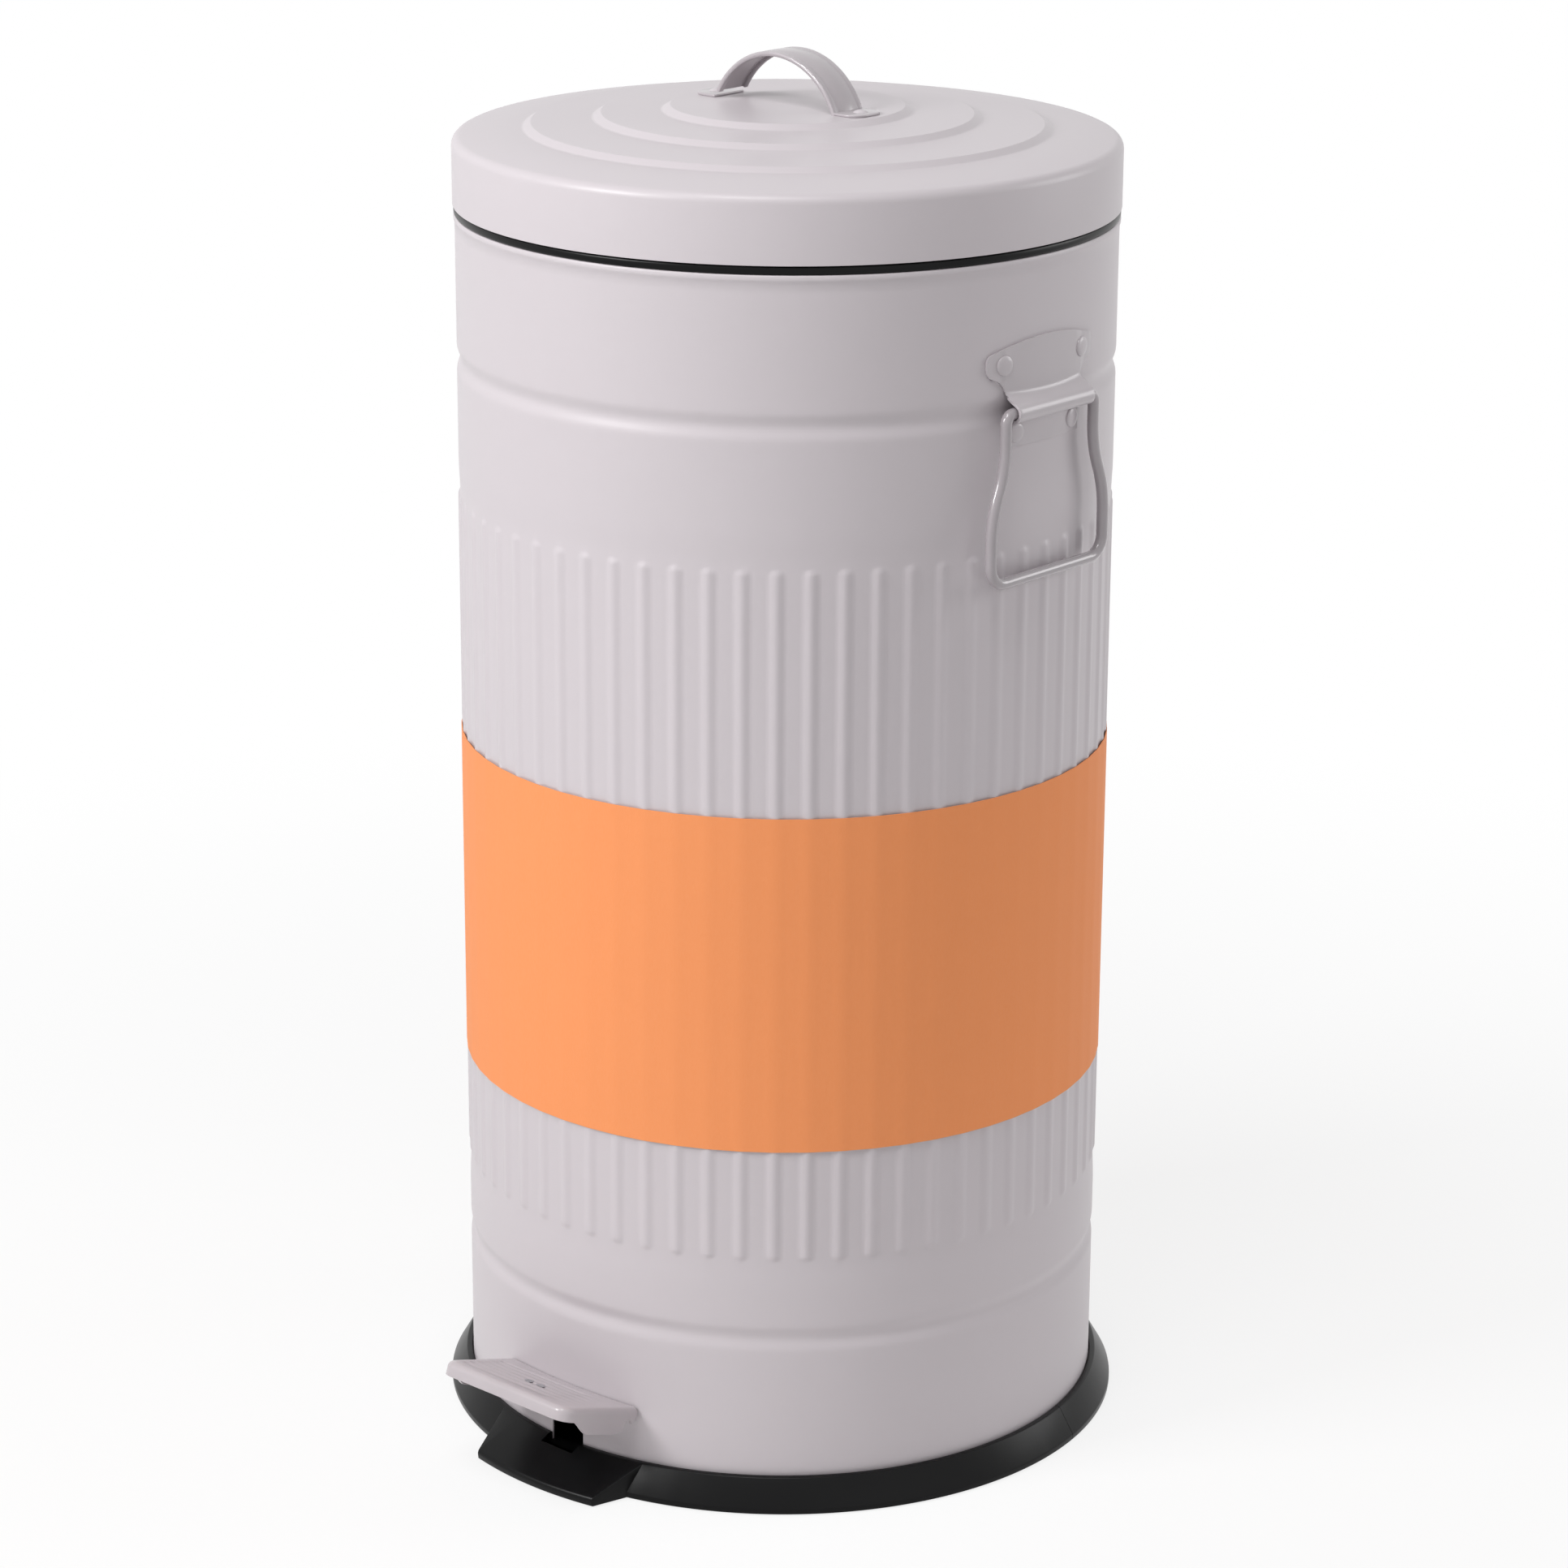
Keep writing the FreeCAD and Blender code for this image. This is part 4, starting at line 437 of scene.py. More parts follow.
    @staticmethod
    def soften(piece: Piece, width: float, angle: float = 30.0, segments: int = 2) -> None:
        """Rounds the sharp edges of a piece by a bevel of this width."""
        Bench.modify(piece, "BEVEL", width=width, segments=segments, limit_method="ANGLE",
                     angle_limit=math.radians(angle), use_clamp_overlap=True, miter_outer="MITER_ARC")

    @staticmethod
    def hand_over(piece: Piece, body: str, finish: "Finish", replaces: Sequence[str] = (),
                  smooth: float = 35.0) -> Piece:
        """Brings a piece to metres, smooths it, dresses it and sets it on its body.

        Args:
            piece: The shaped object, in millimetres.
            body: The body that it moves with.
            finish: What it is made of.
            replaces: The nodes that it stands for.
            smooth: Angle up to which its edges are smooth, in degrees.

        Returns:
            The finished piece.
        """
        Bench.edit(piece)
        Bench.everything()
        Bench.scale(METRES_PER_MM, METRES_PER_MM)
        Bench.focus(piece)
        bpy.ops.object.shade_smooth_by_angle(angle=math.radians(smooth))
        piece.data.materials.clear()
        piece.data.materials.append(finish.material())
        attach(piece, body)
        if replaces:
            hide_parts(*replaces)
        LOG.info("%s: %d faces on %s", piece.name, len(piece.data.polygons), body)
        return piece


class Tree:
    """A node tree with short calls for adding and joining its nodes."""

    def __init__(self, tree: bpy.types.NodeTree) -> None:
        """Starts from an existing tree."""
        self.tree = tree

    def add(self, kind: str, settings: dict[str, object] | None = None,
            **inputs: object) -> Node:
        """Adds a node and fills its inputs.

        Args:
            kind: The shader node's type, without the words ShaderNode.
            settings: Properties of the node.
            inputs: A value, or the output that feeds it, for each input by name.

        Returns:
            The new node.
        """
        node = self.tree.nodes.new("ShaderNode" + kind)
        for name, value in (settings or {}).items():
            setattr(node, name, value)
        for name, value in inputs.items():
            self.feed(node.inputs[name.replace("_", " ")], value)
        return node

    def math(self, operation: str, *values: object, clamp: bool = False) -> Socket:
        """Adds a sum over some values.

        Args:
            operation: The kind of sum.
            values: Numbers or outputs, in the order of the node's inputs.
            clamp: Whether the result is kept from 0 to 1.

        Returns:
            The result's output.
        """
        node = self.add("Math", {"operation": operation, "use_clamp": clamp})
        for socket, value in zip(node.inputs, values):
            self.feed(socket, value)
        return node.outputs[0]

    def feed(self, socket: Socket, value: object) -> None:
        """Joins an output to a socket, or sets the socket's value.

        Args:
            socket: The input.
            value: An output, a colour or a number.
        """
        if isinstance(value, Socket):
            self.tree.links.new(value, socket)
        elif isinstance(value, tuple) and len(value) == 3 and socket.type == "RGBA":
            socket.default_value = (*value, 1.0)
        else:
            socket.default_value = value


class SharedEffect:
    """Shader groups that several finishes use."""

    @staticmethod
    def group(name: str, inputs: dict[str, tuple[str, object]], outputs: dict[str, str]) -> tuple[
            Tree, Node, Node]:
        """Makes an empty group with named sockets.

        Args:
            name: Name of the group.
            inputs: Socket type and default value for each input.
            outputs: Socket type for each output.

        Returns:
            The tree, its input node and its output node.
        """
        tree = bpy.data.node_groups.new(name, "ShaderNodeTree")
        for label, (kind, value) in inputs.items():
            socket = tree.interface.new_socket(label, in_out="INPUT", socket_type=kind)
            socket.default_value = value
        for label, kind in outputs.items():
            tree.interface.new_socket(label, in_out="OUTPUT", socket_type=kind)
        return Tree(tree), tree.nodes.new("NodeGroupInput"), tree.nodes.new("NodeGroupOutput")

    @staticmethod
    def mottle() -> bpy.types.NodeTree:
        """Slow change of shade over a surface: the colour, and a mask of the same change.

        Returns:
            The group.
        """
        if "mottle" in bpy.data.node_groups:
            return bpy.data.node_groups["mottle"]
        tree, given, result = SharedEffect.group(
            "mottle",
            {"Colour": ("NodeSocketColor", (0.5, 0.5, 0.5, 1.0)), "Scale": ("NodeSocketFloat", 8.0),
             "Amount": ("NodeSocketFloat", 0.05)},
            {"Colour": "NodeSocketColor", "Mask": "NodeSocketFloat"})
        place = tree.add("TexCoord")
        clouds = tree.add("TexNoise", Vector=place.outputs["Object"], Scale=given.outputs["Scale"],
                          Detail=3.0, Roughness=0.55)
        swing = tree.math("MULTIPLY_ADD", clouds.outputs["Fac"], 2.0, -1.0)
        shade = tree.math("MULTIPLY_ADD", swing, given.outputs["Amount"], 1.0)
        tint = tree.add("VectorMath", {"operation": "SCALE"}, Scale=shade)
        tree.feed(tint.inputs[0], given.outputs["Colour"])
        tree.feed(result.inputs["Colour"], tint.outputs[0])
        tree.feed(result.inputs["Mask"], clouds.outputs["Fac"])
        return tree.tree

    @staticmethod
    def grain() -> bpy.types.NodeTree:
        """Fine texture of a coated or moulded surface, as a height, stretched along Z by choice.

        Returns:
            The group.
        """
        if "grain" in bpy.data.node_groups:
            return bpy.data.node_groups["grain"]
        tree, given, result = SharedEffect.group(
            "grain",
            {"Scale": ("NodeSocketFloat", 900.0), "Stretch": ("NodeSocketFloat", 1.0),
             "Detail": ("NodeSocketFloat", 2.0)},
            {"Height": "NodeSocketFloat"})
        place = tree.add("TexCoord")
        sizes = tree.add("CombineXYZ", X=1.0, Y=1.0, Z=given.outputs["Stretch"])
        spread = tree.add("VectorMath", {"operation": "MULTIPLY"})
        tree.feed(spread.inputs[0], place.outputs["Object"])
        tree.feed(spread.inputs[1], sizes.outputs[0])
        specks = tree.add("TexNoise", Vector=spread.outputs[0], Scale=given.outputs["Scale"],
                          Detail=given.outputs["Detail"], Roughness=0.6)
        tree.feed(result.inputs["Height"], specks.outputs["Fac"])
        return tree.tree


@dataclass(frozen=True)
class Finish:
    """A surface: its colour, how it shines, and the scale of its texture."""

    name: str
    slot: Slot
    colour: Colour
    roughness: float
    rough_swing: float = 0.04
    metallic: float = 0.0
    specular: float = 0.5
    coat: float = 0.0
    coat_roughness: float = 0.3
    mottle_scale: float = 9.0
    mottle_amount: float = 0.02
    grain_scale: float = 900.0
    grain_stretch: float = 1.0
    grain_depth: float = 0.00004
    grain_strength: float = 0.25

    def material(self) -> bpy.types.Material:
        """Builds the material, or finds it if it was built before.

        Returns:
            The material.
        """
        if self.name in bpy.data.materials:
            return bpy.data.materials[self.name]
        material = bpy.data.materials.new(self.name)
        material.use_nodes = True
        material.node_tree.nodes.clear()
        tree = Tree(material.node_tree)
        mottle = tree.add("Group", {"node_tree": SharedEffect.mottle()}, Colour=self.colour,
                          Scale=self.mottle_scale, Amount=self.mottle_amount)
        grain = tree.add("Group", {"node_tree": SharedEffect.grain()}, Scale=self.grain_scale,
                         Stretch=self.grain_stretch)
        rough = tree.add("MapRange", Value=self.rough_mask(mottle, grain))
        rough.inputs["To Min"].default_value = self.roughness - self.rough_swing
        rough.inputs["To Max"].default_value = self.roughness + self.rough_swing
        bump = tree.add("Bump", Height=grain.outputs["Height"], Strength=self.grain_strength,
                        Distance=self.grain_depth)
        shader = tree.add("BsdfPrincipled", Base_Color=self.shade(tree, mottle, grain),
                          Roughness=rough.outputs[0], Metallic=self.metallic, Normal=bump.outputs[0],
                          Coat_Weight=self.coat, Coat_Roughness=self.coat_roughness)
        shader.inputs["Specular IOR Level"].default_value = self.specular
        tree.add("OutputMaterial", Surface=shader.outputs[0])
        return material

    def rough_mask(self, mottle: Node, grain: Node) -> Socket:
        """The mask that the roughness follows."""
        return mottle.outputs["Mask"]

    def shade(self, tree: Tree, mottle: Node, grain: Node) -> Socket:
        """The colour over the surface."""
        return mottle.outputs["Colour"]


@dataclass(frozen=True)
class BrushedFinish(Finish):
    """Plated steel, whose fine streaks show in its shine as well."""

    def rough_mask(self, mottle: Node, grain: Node) -> Socket:
        """The streaks change the roughness."""
        return grain.outputs["Height"]


@dataclass(frozen=True)
class PaperFinish(Finish):
    """Printed paper: its fibres show as a faint change of the ink."""

    fibre: Colour = (1.0, 0.82, 0.7)
    fibre_share: float = 0.05

    def shade(self, tree: Tree, mottle: Node, grain: Node) -> Socket:
        """Ink with a little of the paper's fibres in it.

        Args:
            tree: The material's tree.
            mottle: The node of the slow change.
            grain: The node of the fibres.

        Returns:
            The colour's output.
        """
        mix = tree.add("Mix", {"data_type": "RGBA"})
        tree.feed(mix.inputs["Factor"], tree.math("MULTIPLY", grain.outputs["Height"], self.fibre_share))
        tree.feed(mix.inputs[6], mottle.outputs["Colour"])
        tree.feed(mix.inputs[7], self.fibre)
        return mix.outputs[2]


POWDER_COAT = Finish("powder_coat", Slot.PAINT, linear(199, 192, 196), 0.42, specular=0.45, coat=0.12,
                     coat_roughness=0.25, mottle_amount=0.012, grain_scale=700.0, grain_strength=0.12)
# The pedal wears the body's paint; this colour is darker than it to stand in for shade, so it is painted
# shade.
SHADED_PEDAL_COAT = Finish("pedal_coat_painted_shade", Slot.PEDAL, linear(186, 178, 182), 0.32, specular=0.5, coat=0.35,
                    coat_roughness=0.12, mottle_amount=0.05, mottle_scale=45.0, grain_scale=500.0,
                    grain_strength=0.12)
# Bracket plates and rivet heads wear the body's paint; this colour is a little darker than it to stand in for
# shade, so it is painted shade.
SHADED_PLATE_COAT = replace(SHADED_PEDAL_COAT, name="plate_coat_painted_shade", slot=Slot.PAINT, colour=linear(190, 183, 187),
                     roughness=0.33, coat=0.3, coat_roughness=0.14, mottle_amount=0.03)
# The lid strap wears the body's paint; this colour is darker than it to stand in for shade on the strap, so
# it is painted shade.
SHADED_STRAP_COAT = replace(SHADED_PLATE_COAT, name="strap_coat_painted_shade", colour=linear(176, 169, 173), roughness=0.3, coat=0.4,
                     mottle_amount=0.05, mottle_scale=55.0)
# The bails wear the body's paint; this much darker colour stands in for the shaded side of the wire, so it is
# painted shade.
SHADED_BAIL_COAT = replace(SHADED_STRAP_COAT, name="bail_coat_painted_shade", colour=linear(160, 153, 157), roughness=0.24,
                    specular=0.55, coat=0.6, coat_roughness=0.07, mottle_scale=40.0, grain_strength=0.08)
ORANGE_PAPER = PaperFinish("orange_paper", Slot.BAND, linear(240, 148, 90), 0.62, specular=0.2,
                           mottle_amount=0.015, mottle_scale=14.0, grain_scale=1600.0, grain_stretch=0.25,
                           grain_strength=0.1)
BLACK_PLASTIC = Finish("moulded_black", Slot.PLASTIC, linear(11, 11, 12), 0.3, rough_swing=0.08,
                       specular=0.15, mottle_amount=0.12, mottle_scale=26.0, grain_scale=1400.0,
                       grain_strength=0.3, grain_depth=0.00006)
BUCKET_PLASTIC = Finish("bucket_plastic", Slot.PLASTIC, linear(30, 30, 31), 0.5, mottle_amount=0.1,
                        grain_scale=1100.0, grain_strength=0.35, grain_depth=0.00006)
ZINC = BrushedFinish("zinc_plate", Slot.ZINC, linear(186, 187, 190), 0.34, rough_swing=0.09, metallic=1.0,
                     mottle_amount=0.08, mottle_scale=60.0, grain_scale=900.0, grain_stretch=0.08,
                     grain_strength=0.15)
RUBBER = Finish("black_rubber", Slot.RUBBER, linear(24, 24, 24), 0.78, specular=0.3, mottle_amount=0.15,
                mottle_scale=90.0, grain_scale=2200.0, grain_strength=0.4, grain_depth=0.00008)


@dataclass
class BodyShell:
    """Rolled steel body: two inward beads, upright ribs and a rolled rim."""

    radius: float = 150.0
    wall: float = 0.8
    foot: float = 11.5
    rim: float = 573.0
    hem_bulge: float = 0.6
    bead_heights: tuple[float, float] = (83.0, 507.0)
    bead_dip: float = 1.5
    bead_half: float = 6.5
    rib_count: int = 63
    rib_half: float = 3.75
    rib_rise: float = 0.95
    rib_power: float = 0.75
    rib_low: float = 120.6
    rib_high: float = 445.0
    field_dip: float = 0.5
    field_ease: float = 15.0
    end_reach_share: float = 1.15
    least_rise: float = 0.001
    columns_per_rib: int = 12
    first_row_up: float = 30.0
    last_row_down: float = 8.0
    hem: tuple[Corner, ...] = ((0.15, 3.2), (0.85, 2.6), (1.0, 1.7), (0.92, 0.8), (0.55, 0.2), (-0.2, 0.0),
                               (-1.4, 0.0))
    lever_way_half: float = 9.8
    lever_way_top: float = 43.4
    crank_way_left: float = 13.9
    crank_way_right: float = 20.1
    crank_way_bottom: float = 556.2

    def profile(self) -> list[tuple[float, float]]:
        """Rows of the outer face, from foot to rim.

        Returns:
            (radius, height) of each row.
        """
        heights = {self.foot, self.foot + self.first_row_up, self.rim - self.last_row_down}
        for middle in self.bead_heights:
            heights |= {middle + self.bead_half * step / 5 for step in range(-6, 7)}
        for end, away in ((self.rib_low, -1), (self.rib_high, 1)):
            heights |= {end + away * self.field_ease * step / 4 for step in range(5)}
            heights |= {end - away * self.rib_half * self.end_reach_share * step / 7 for step in range(8)}
        heights |= {self.rib_low + (self.rib_high - self.rib_low) * step / 4 for step in range(1, 4)}
        points = [(self.face(height), height) for height in sorted(heights)]
        return points + [(self.radius + self.hem_bulge * out, self.rim - down) for out, down in self.hem]

    def face(self, height: float) -> float:
        """Works out the plain wall's radius, with its beads and the drawn-in field of the ribs.

        Args:
            height: Distance above the floor.

        Returns:
            The radius.
        """
        radius = self.radius
        for middle in self.bead_heights:
            away = abs(height - middle) / self.bead_half
            if away < 1.0:
                radius -= self.bead_dip * (0.5 + 0.5 * math.cos(math.pi * away))
        inside = min(height - self.rib_low, self.rib_high - height)
        share = min(max(inside / self.field_ease + 1.0, 0.0), 1.0)
        return radius - self.field_dip * share * share * (3 - 2 * share)

    def rise(self, aside: float, height: float) -> float:
        """Works out how far a rib stands out.

        Args:
            aside: Distance from the rib's middle line.
            height: Distance above the floor.

        Returns:
            The rib's height over the wall.
        """
        low = self.rib_low + self.rib_half
        high = self.rib_high - self.rib_half
        beyond = max(low - height, height - high, 0.0)
        away = math.hypot(aside, beyond) / self.rib_half
        if away >= 1.0:
            return 0.0
        return self.rib_rise * (0.5 + 0.5 * math.cos(math.pi * away)) ** self.rib_power

    def build(self, finish: Finish) -> Piece:
        """Models one rib's width of the wall, copies it all round and cuts the two notches.

        Args:
            finish: What the body is coated with.

        Returns:
            The finished body.
        """
        width = math.tau / self.rib_count
        piece = Bench.chain("body", on_meridian(-width / 2, self.profile()))
        Bench.spin(self.columns_per_rib, -width)
        self.raise_rib(piece, width)
        Bench.spin(self.rib_count, math.tau, repeat=True)
        Bench.weld()
        Bench.window(piece, Vector((-self.lever_way_half, -OUTSIDE_BODY, 0.0)),
                     Vector((self.lever_way_half, -INSIDE_BODY, self.lever_way_top)))
        Bench.window(piece, Vector((self.crank_way_left, INSIDE_BODY, self.crank_way_bottom)),
                     Vector((self.crank_way_right, OUTSIDE_BODY, ABOVE_BODY)))
        Bench.modify(piece, "SOLIDIFY", thickness=self.wall, offset=-1.0)
        return Bench.hand_over(piece, "body", finish, ("body_shell",), smooth=50.0)

    def raise_rib(self, piece: Piece, width: float) -> None:
        """Pushes out the rib in the middle of the sector, ring by ring and column by column.

        Args:
            piece: The sector, in edit mode.
            width: Its turn, in radians.
        """
        step = width / self.columns_per_rib
        rows = sorted({round(height, 4) for _, height in self.profile()
                       if self.rib_low - 1 < height < self.rib_high + 1})
        for column in range(self.columns_per_rib // 2):
            for row in rows:
                rise = self.rise(column * step * self.radius, row)
                if rise < self.least_rise:
                    continue
                def on_ring(place: Vector) -> bool:
                    """Whether a vertex is on this row and this column, on either side."""
                    aside = abs(math.atan2(place.x, -place.y))
                    return abs(place.z - row) < SAME_PLACE and abs(aside - column * step) < step / 10
                if Bench.pick(piece, on_ring):
                    Bench.scale(1.0 + rise / self.face(row), 1.0)


@dataclass
class PaperBand:
    """Orange paper band, pulled tight over the ribs so that it is nearly flat from crest to crest."""

    crest: float = 150.78
    thickness: float = 0.3
    low: float = 175.0
    high: float = 332.0
    rib_count: int = 63
    columns_per_rib: int = 12
    sag: float = 0.17
    fall: float = 1.5
    column_slack: float = 0.2

    def build(self, finish: Finish) -> Piece:
        """Lathes the band, then draws in the paper between the ribs.

        Args:
            finish: The printed paper.

        Returns:
            The finished band.
        """
        inside = self.crest - self.thickness
        columns = self.rib_count * self.columns_per_rib
        section = [(inside, self.low), (self.crest, self.low), (self.crest, self.high), (inside, self.high)]
        piece = Bench.lathe("paper_band", section, columns)
        half = self.columns_per_rib / 2
        for column in range(1, self.columns_per_rib // 2 + 1):
            sink = self.sag * min(1.0, column / half * self.fall) ** self.fall
            def between(place: Vector) -> bool:
                """Whether a vertex is this many columns from the nearest crest."""
                turn = math.atan2(place.x, -place.y) * columns / math.tau
                return abs(abs((turn + half) % self.columns_per_rib - half) - column) < self.column_slack
            Bench.pick(piece, between)
            Bench.scale(1.0 - sink / self.crest, 1.0)
        return Bench.hand_over(piece, "body", finish, ("wrap_band",), smooth=50.0)


@dataclass
class RimRing:
    """Black ring between the body and the lid."""

    columns: int = 192
    inside: float = 144.6
    outside: float = 148.85
    lip: float = 150.55
    mouth: float = 141.0
    bottom: float = 560.0
    lip_bottom: float = 573.05
    lip_top: float = 576.8
    throat: float = 577.4
    mouth_bottom: float = 581.0
    top: float = 583.6
    notch_half: float = 23.0
    notch_foot: float = 550.0

    def build(self, finish: Finish) -> Piece:
        """Lathes the ring with a soft lip and cuts the notch for the crank.

        Args:
            finish: The moulded plastic.

        Returns:
            The finished ring.
        """
        outside, lip = self.outside, self.lip
        corners = [(self.inside, self.bottom, 0.5), (outside, self.bottom, 0.8), (outside, self.lip_bottom),
                   (lip, self.lip_bottom, 0.9), (lip, self.lip_top, 1.2), (outside, self.lip_top, 0.4),
                   (outside, self.top, 0.6), (self.mouth, self.top, 0.6),
                   (self.mouth, self.mouth_bottom, 0.4), (self.inside, self.throat, 1.5)]
        piece = Bench.lathe("rim_ring", rounded(corners, 3, closed=True), self.columns)
        Bench.window(piece, Vector((-self.notch_half, INSIDE_BODY, self.notch_foot)),
                     Vector((self.notch_half, OUTSIDE_BODY, ABOVE_BODY)))
        Bench.cap()
        return Bench.hand_over(piece, "body", finish, ("top_rim_ring",), smooth=40.0)


@dataclass
class Lid:
    """Pressed lid with three raised steps."""

    columns: int = 240
    radius: float = 151.0
    wall: float = 0.8
    bottom: float = 577.1
    bottom_round: float = 0.35
    shoulder: float = 607.0
    shoulder_round: float = 4.6
    step_feet: tuple[Corner, ...] = ((119.1, 610.45), (87.6, 614.65), (56.6, 617.95))
    step_slant: float = 3.7
    step_height: float = 2.45
    foot_round: float = 2.4
    crest_round: float = 1.2

    def outer(self) -> list[Corner]:
        """Corners of the outer face, from the skirt's foot to the middle.

        Returns:
            (radius, height, rounding) of each corner.
        """
        corners = [(self.radius, self.bottom, self.bottom_round),
                   (self.radius, self.shoulder, self.shoulder_round)]
        for radius, height in self.step_feet:
            crest = height + self.step_height
            corners += [(radius, height, self.foot_round),
                        (radius - self.step_slant, crest, self.crest_round)]
        return [*corners, (0.0, crest)]

    def build(self, finish: Finish) -> Piece:
        """Lathes the outer and inner faces as one closed profile.

        Args:
            finish: What the lid is coated with.

        Returns:
            The finished lid.
        """
        outer = self.outer()
        wall = self.wall
        inner = [(radius - wall * (radius == self.radius), height - wall * (height > self.bottom), *rest)
                 for radius, height, *rest in reversed(outer)]
        piece = Bench.lathe("lid", rounded(outer, 6) + rounded(inner, 4), self.columns)
        return Bench.hand_over(piece, "lid", finish, ("lid_shell",), smooth=45.0)


@dataclass
class BaseRing:
    """Black ring round the foot, in a front part with a bulge under the pedal and a rear part."""

    front_half: float = 101.0
    seam: float = 0.05
    columns_per_degree: float = 1.0
    radius: float = 160.5
    top_radius: float = 153.1
    top: float = 15.5
    foot: float = 0.5
    lip: float = 3.1
    inner_lip: float = 3.0
    channel: float = 150.5
    ledge: float = 11.5
    skin: float = 2.4
    roof_end: float = 151.7
    flange: float = 136.0
    flange_top: float = 8.0
    flange_bottom: float = 5.4
    edge_round: float = 0.4
    toe_half: float = 12.0
    toe_end: float = 17.0
    toe_radius: float = 176.6
    toe_crest: float = 4.4
    toe_root: float = 152.2
    toe_back: float = 157.0
    toe_sink: float = 0.15
    toe_lean: float = 0.6
    toe_edge: float = 0.9
    notch_half: float = 14.0
    spigot_outside: float = 148.9
    spigot_inside: float = 146.6
    spigot_top: float = 36.0
    spigot_root: float = 0.5
    way_half: float = 9.8
    way_reach: float = 157.5
    way_floor: float = 11.7

    def corners(self) -> list[Corner]:
        """Closed profile of the ring without its spigot, from its outer foot round to the inside of its skin.

        Returns:
            (radius, height) or (radius, height, rounding) of each corner.
        """
        roof = self.ledge - self.skin
        inside = self.radius - self.skin
        edge = self.edge_round
        return [(self.radius, self.foot, edge), (self.radius, self.lip, 1.2),
                (self.top_radius, self.top, 0.9), (self.channel, self.top, 0.3), (self.channel, self.ledge),
                (self.spigot_inside, self.ledge), (self.spigot_inside, self.flange_top),
                (self.flange, self.flange_top, edge),
                (self.flange, self.flange_bottom, edge), (self.spigot_outside, self.flange_bottom),
                (self.spigot_outside, roof), (self.roof_end, roof), (inside, self.inner_lip),
                (inside, self.foot, edge)]

    def part(self, name: str, first: float, turn: float) -> Piece:
        """Lathes one part of the ring.

        Args:
            name: Name of the part.
            first: Where it starts, in degrees from the front towards the right.
            turn: How far it goes, in degrees.

        Returns:
            The part, in edit mode.
        """
        return Bench.lathe(name, rounded(self.corners(), 3, closed=True),
                           round(turn * self.columns_per_degree), first, turn)

    def spigot(self, first: float, turn: float) -> Piece:
        """Lathes a stretch of the upright wall inside the body.

        Args:
            first: Where it starts, in degrees from the front towards the right.
            turn: How far it goes, in degrees.

        Returns:
            The stretch, in edit mode.
        """
        foot = self.ledge - self.spigot_root
        corners = [(self.spigot_outside, foot), (self.spigot_outside, self.spigot_top, 0.6),
                   (self.spigot_inside, self.spigot_top, 0.6), (self.spigot_inside, foot)]
        return Bench.lathe("spigot", rounded(corners, 3, closed=True), round(turn * self.columns_per_degree),
                           first, turn)

    def build(self, finish: Finish) -> list[Piece]:
        """Makes both parts, and leaves the lever's notch in the front part's spigot.

        Args:
            finish: The moulded plastic.

        Returns:
            The front and the rear part.
        """
        half = self.front_half - self.seam
        notch = math.degrees(math.asin(self.notch_half / self.spigot_inside))
        front = Bench.join([self.cleared(self.part("base_toe", -half, half * 2)), self.cleared(self.toe()),
                            self.spigot(-half, half - notch), self.spigot(notch, half - notch)], "base_toe")
        start, turn = half + self.seam * 2, 360.0 - half * 2 - self.seam * 4
        rear = Bench.join([self.part("base_heel", start, turn), self.spigot(start, turn)], "base_heel")
        return [Bench.hand_over(front, "body", finish, ("base_front",), smooth=32.0),
                Bench.hand_over(rear, "body", finish, ("base_rear",), smooth=32.0)]

    def cleared(self, piece: Piece) -> Piece:
        """Cuts the lever's way through the ring's upper edge.

        Args:
            piece: A closed part of the ring.

        Returns:
            The same part.
        """
        low = Vector((-self.way_half, -self.way_reach, self.way_floor))
        high = Vector((self.way_half, -self.spigot_outside, self.spigot_top))
        Bench.clear()
        bpy.ops.mesh.primitive_cube_add(size=1.0, location=ORIGIN)
        block = bpy.context.object
        Bench.place(block, Matrix.Translation((low + high) / 2) @ Matrix.Diagonal((*(high - low), 1.0)))
        Bench.modify(piece, "BOOLEAN", operation="DIFFERENCE", solver="EXACT", object=block)
        bpy.data.objects.remove(block)
        return piece

    def toe(self) -> Piece:
        """Lathes the bulge under the pedal and cuts its two slanted sides.

        Returns:
            The bulge, as a closed body that grows out of the ring.
        """
        top = self.top - self.toe_sink
        section = [(self.toe_root, top), (self.top_radius + 0.1, top, 0.6),
                   (self.toe_radius, self.toe_crest, 2.0), (self.toe_radius - self.toe_lean, self.foot, 0.5),
                   (self.toe_back, self.foot)]
        end = self.toe_end + 1.0
        piece = Bench.lathe("toe", rounded(section, 5, closed=True), 60, -end, end * 2)
        for side in (-1.0, 1.0):
            start, corner = (Vector((radius * math.sin(math.radians(turn)) * side,
                                     -radius * math.cos(math.radians(turn)), 0.0))
                             for radius, turn in ((self.top_radius, self.toe_end),
                                                  (self.toe_radius, self.toe_half)))
            along = corner - start
            away = Vector((-along.y * side, along.x * side, 0.0))
            Bench.everything()
            bpy.ops.mesh.bisect(plane_co=start, plane_no=away.normalized(), use_fill=True, clear_outer=True)
        Bench.weld()
        Bench.soften(piece, self.toe_edge, 40.0, 3)
        return piece


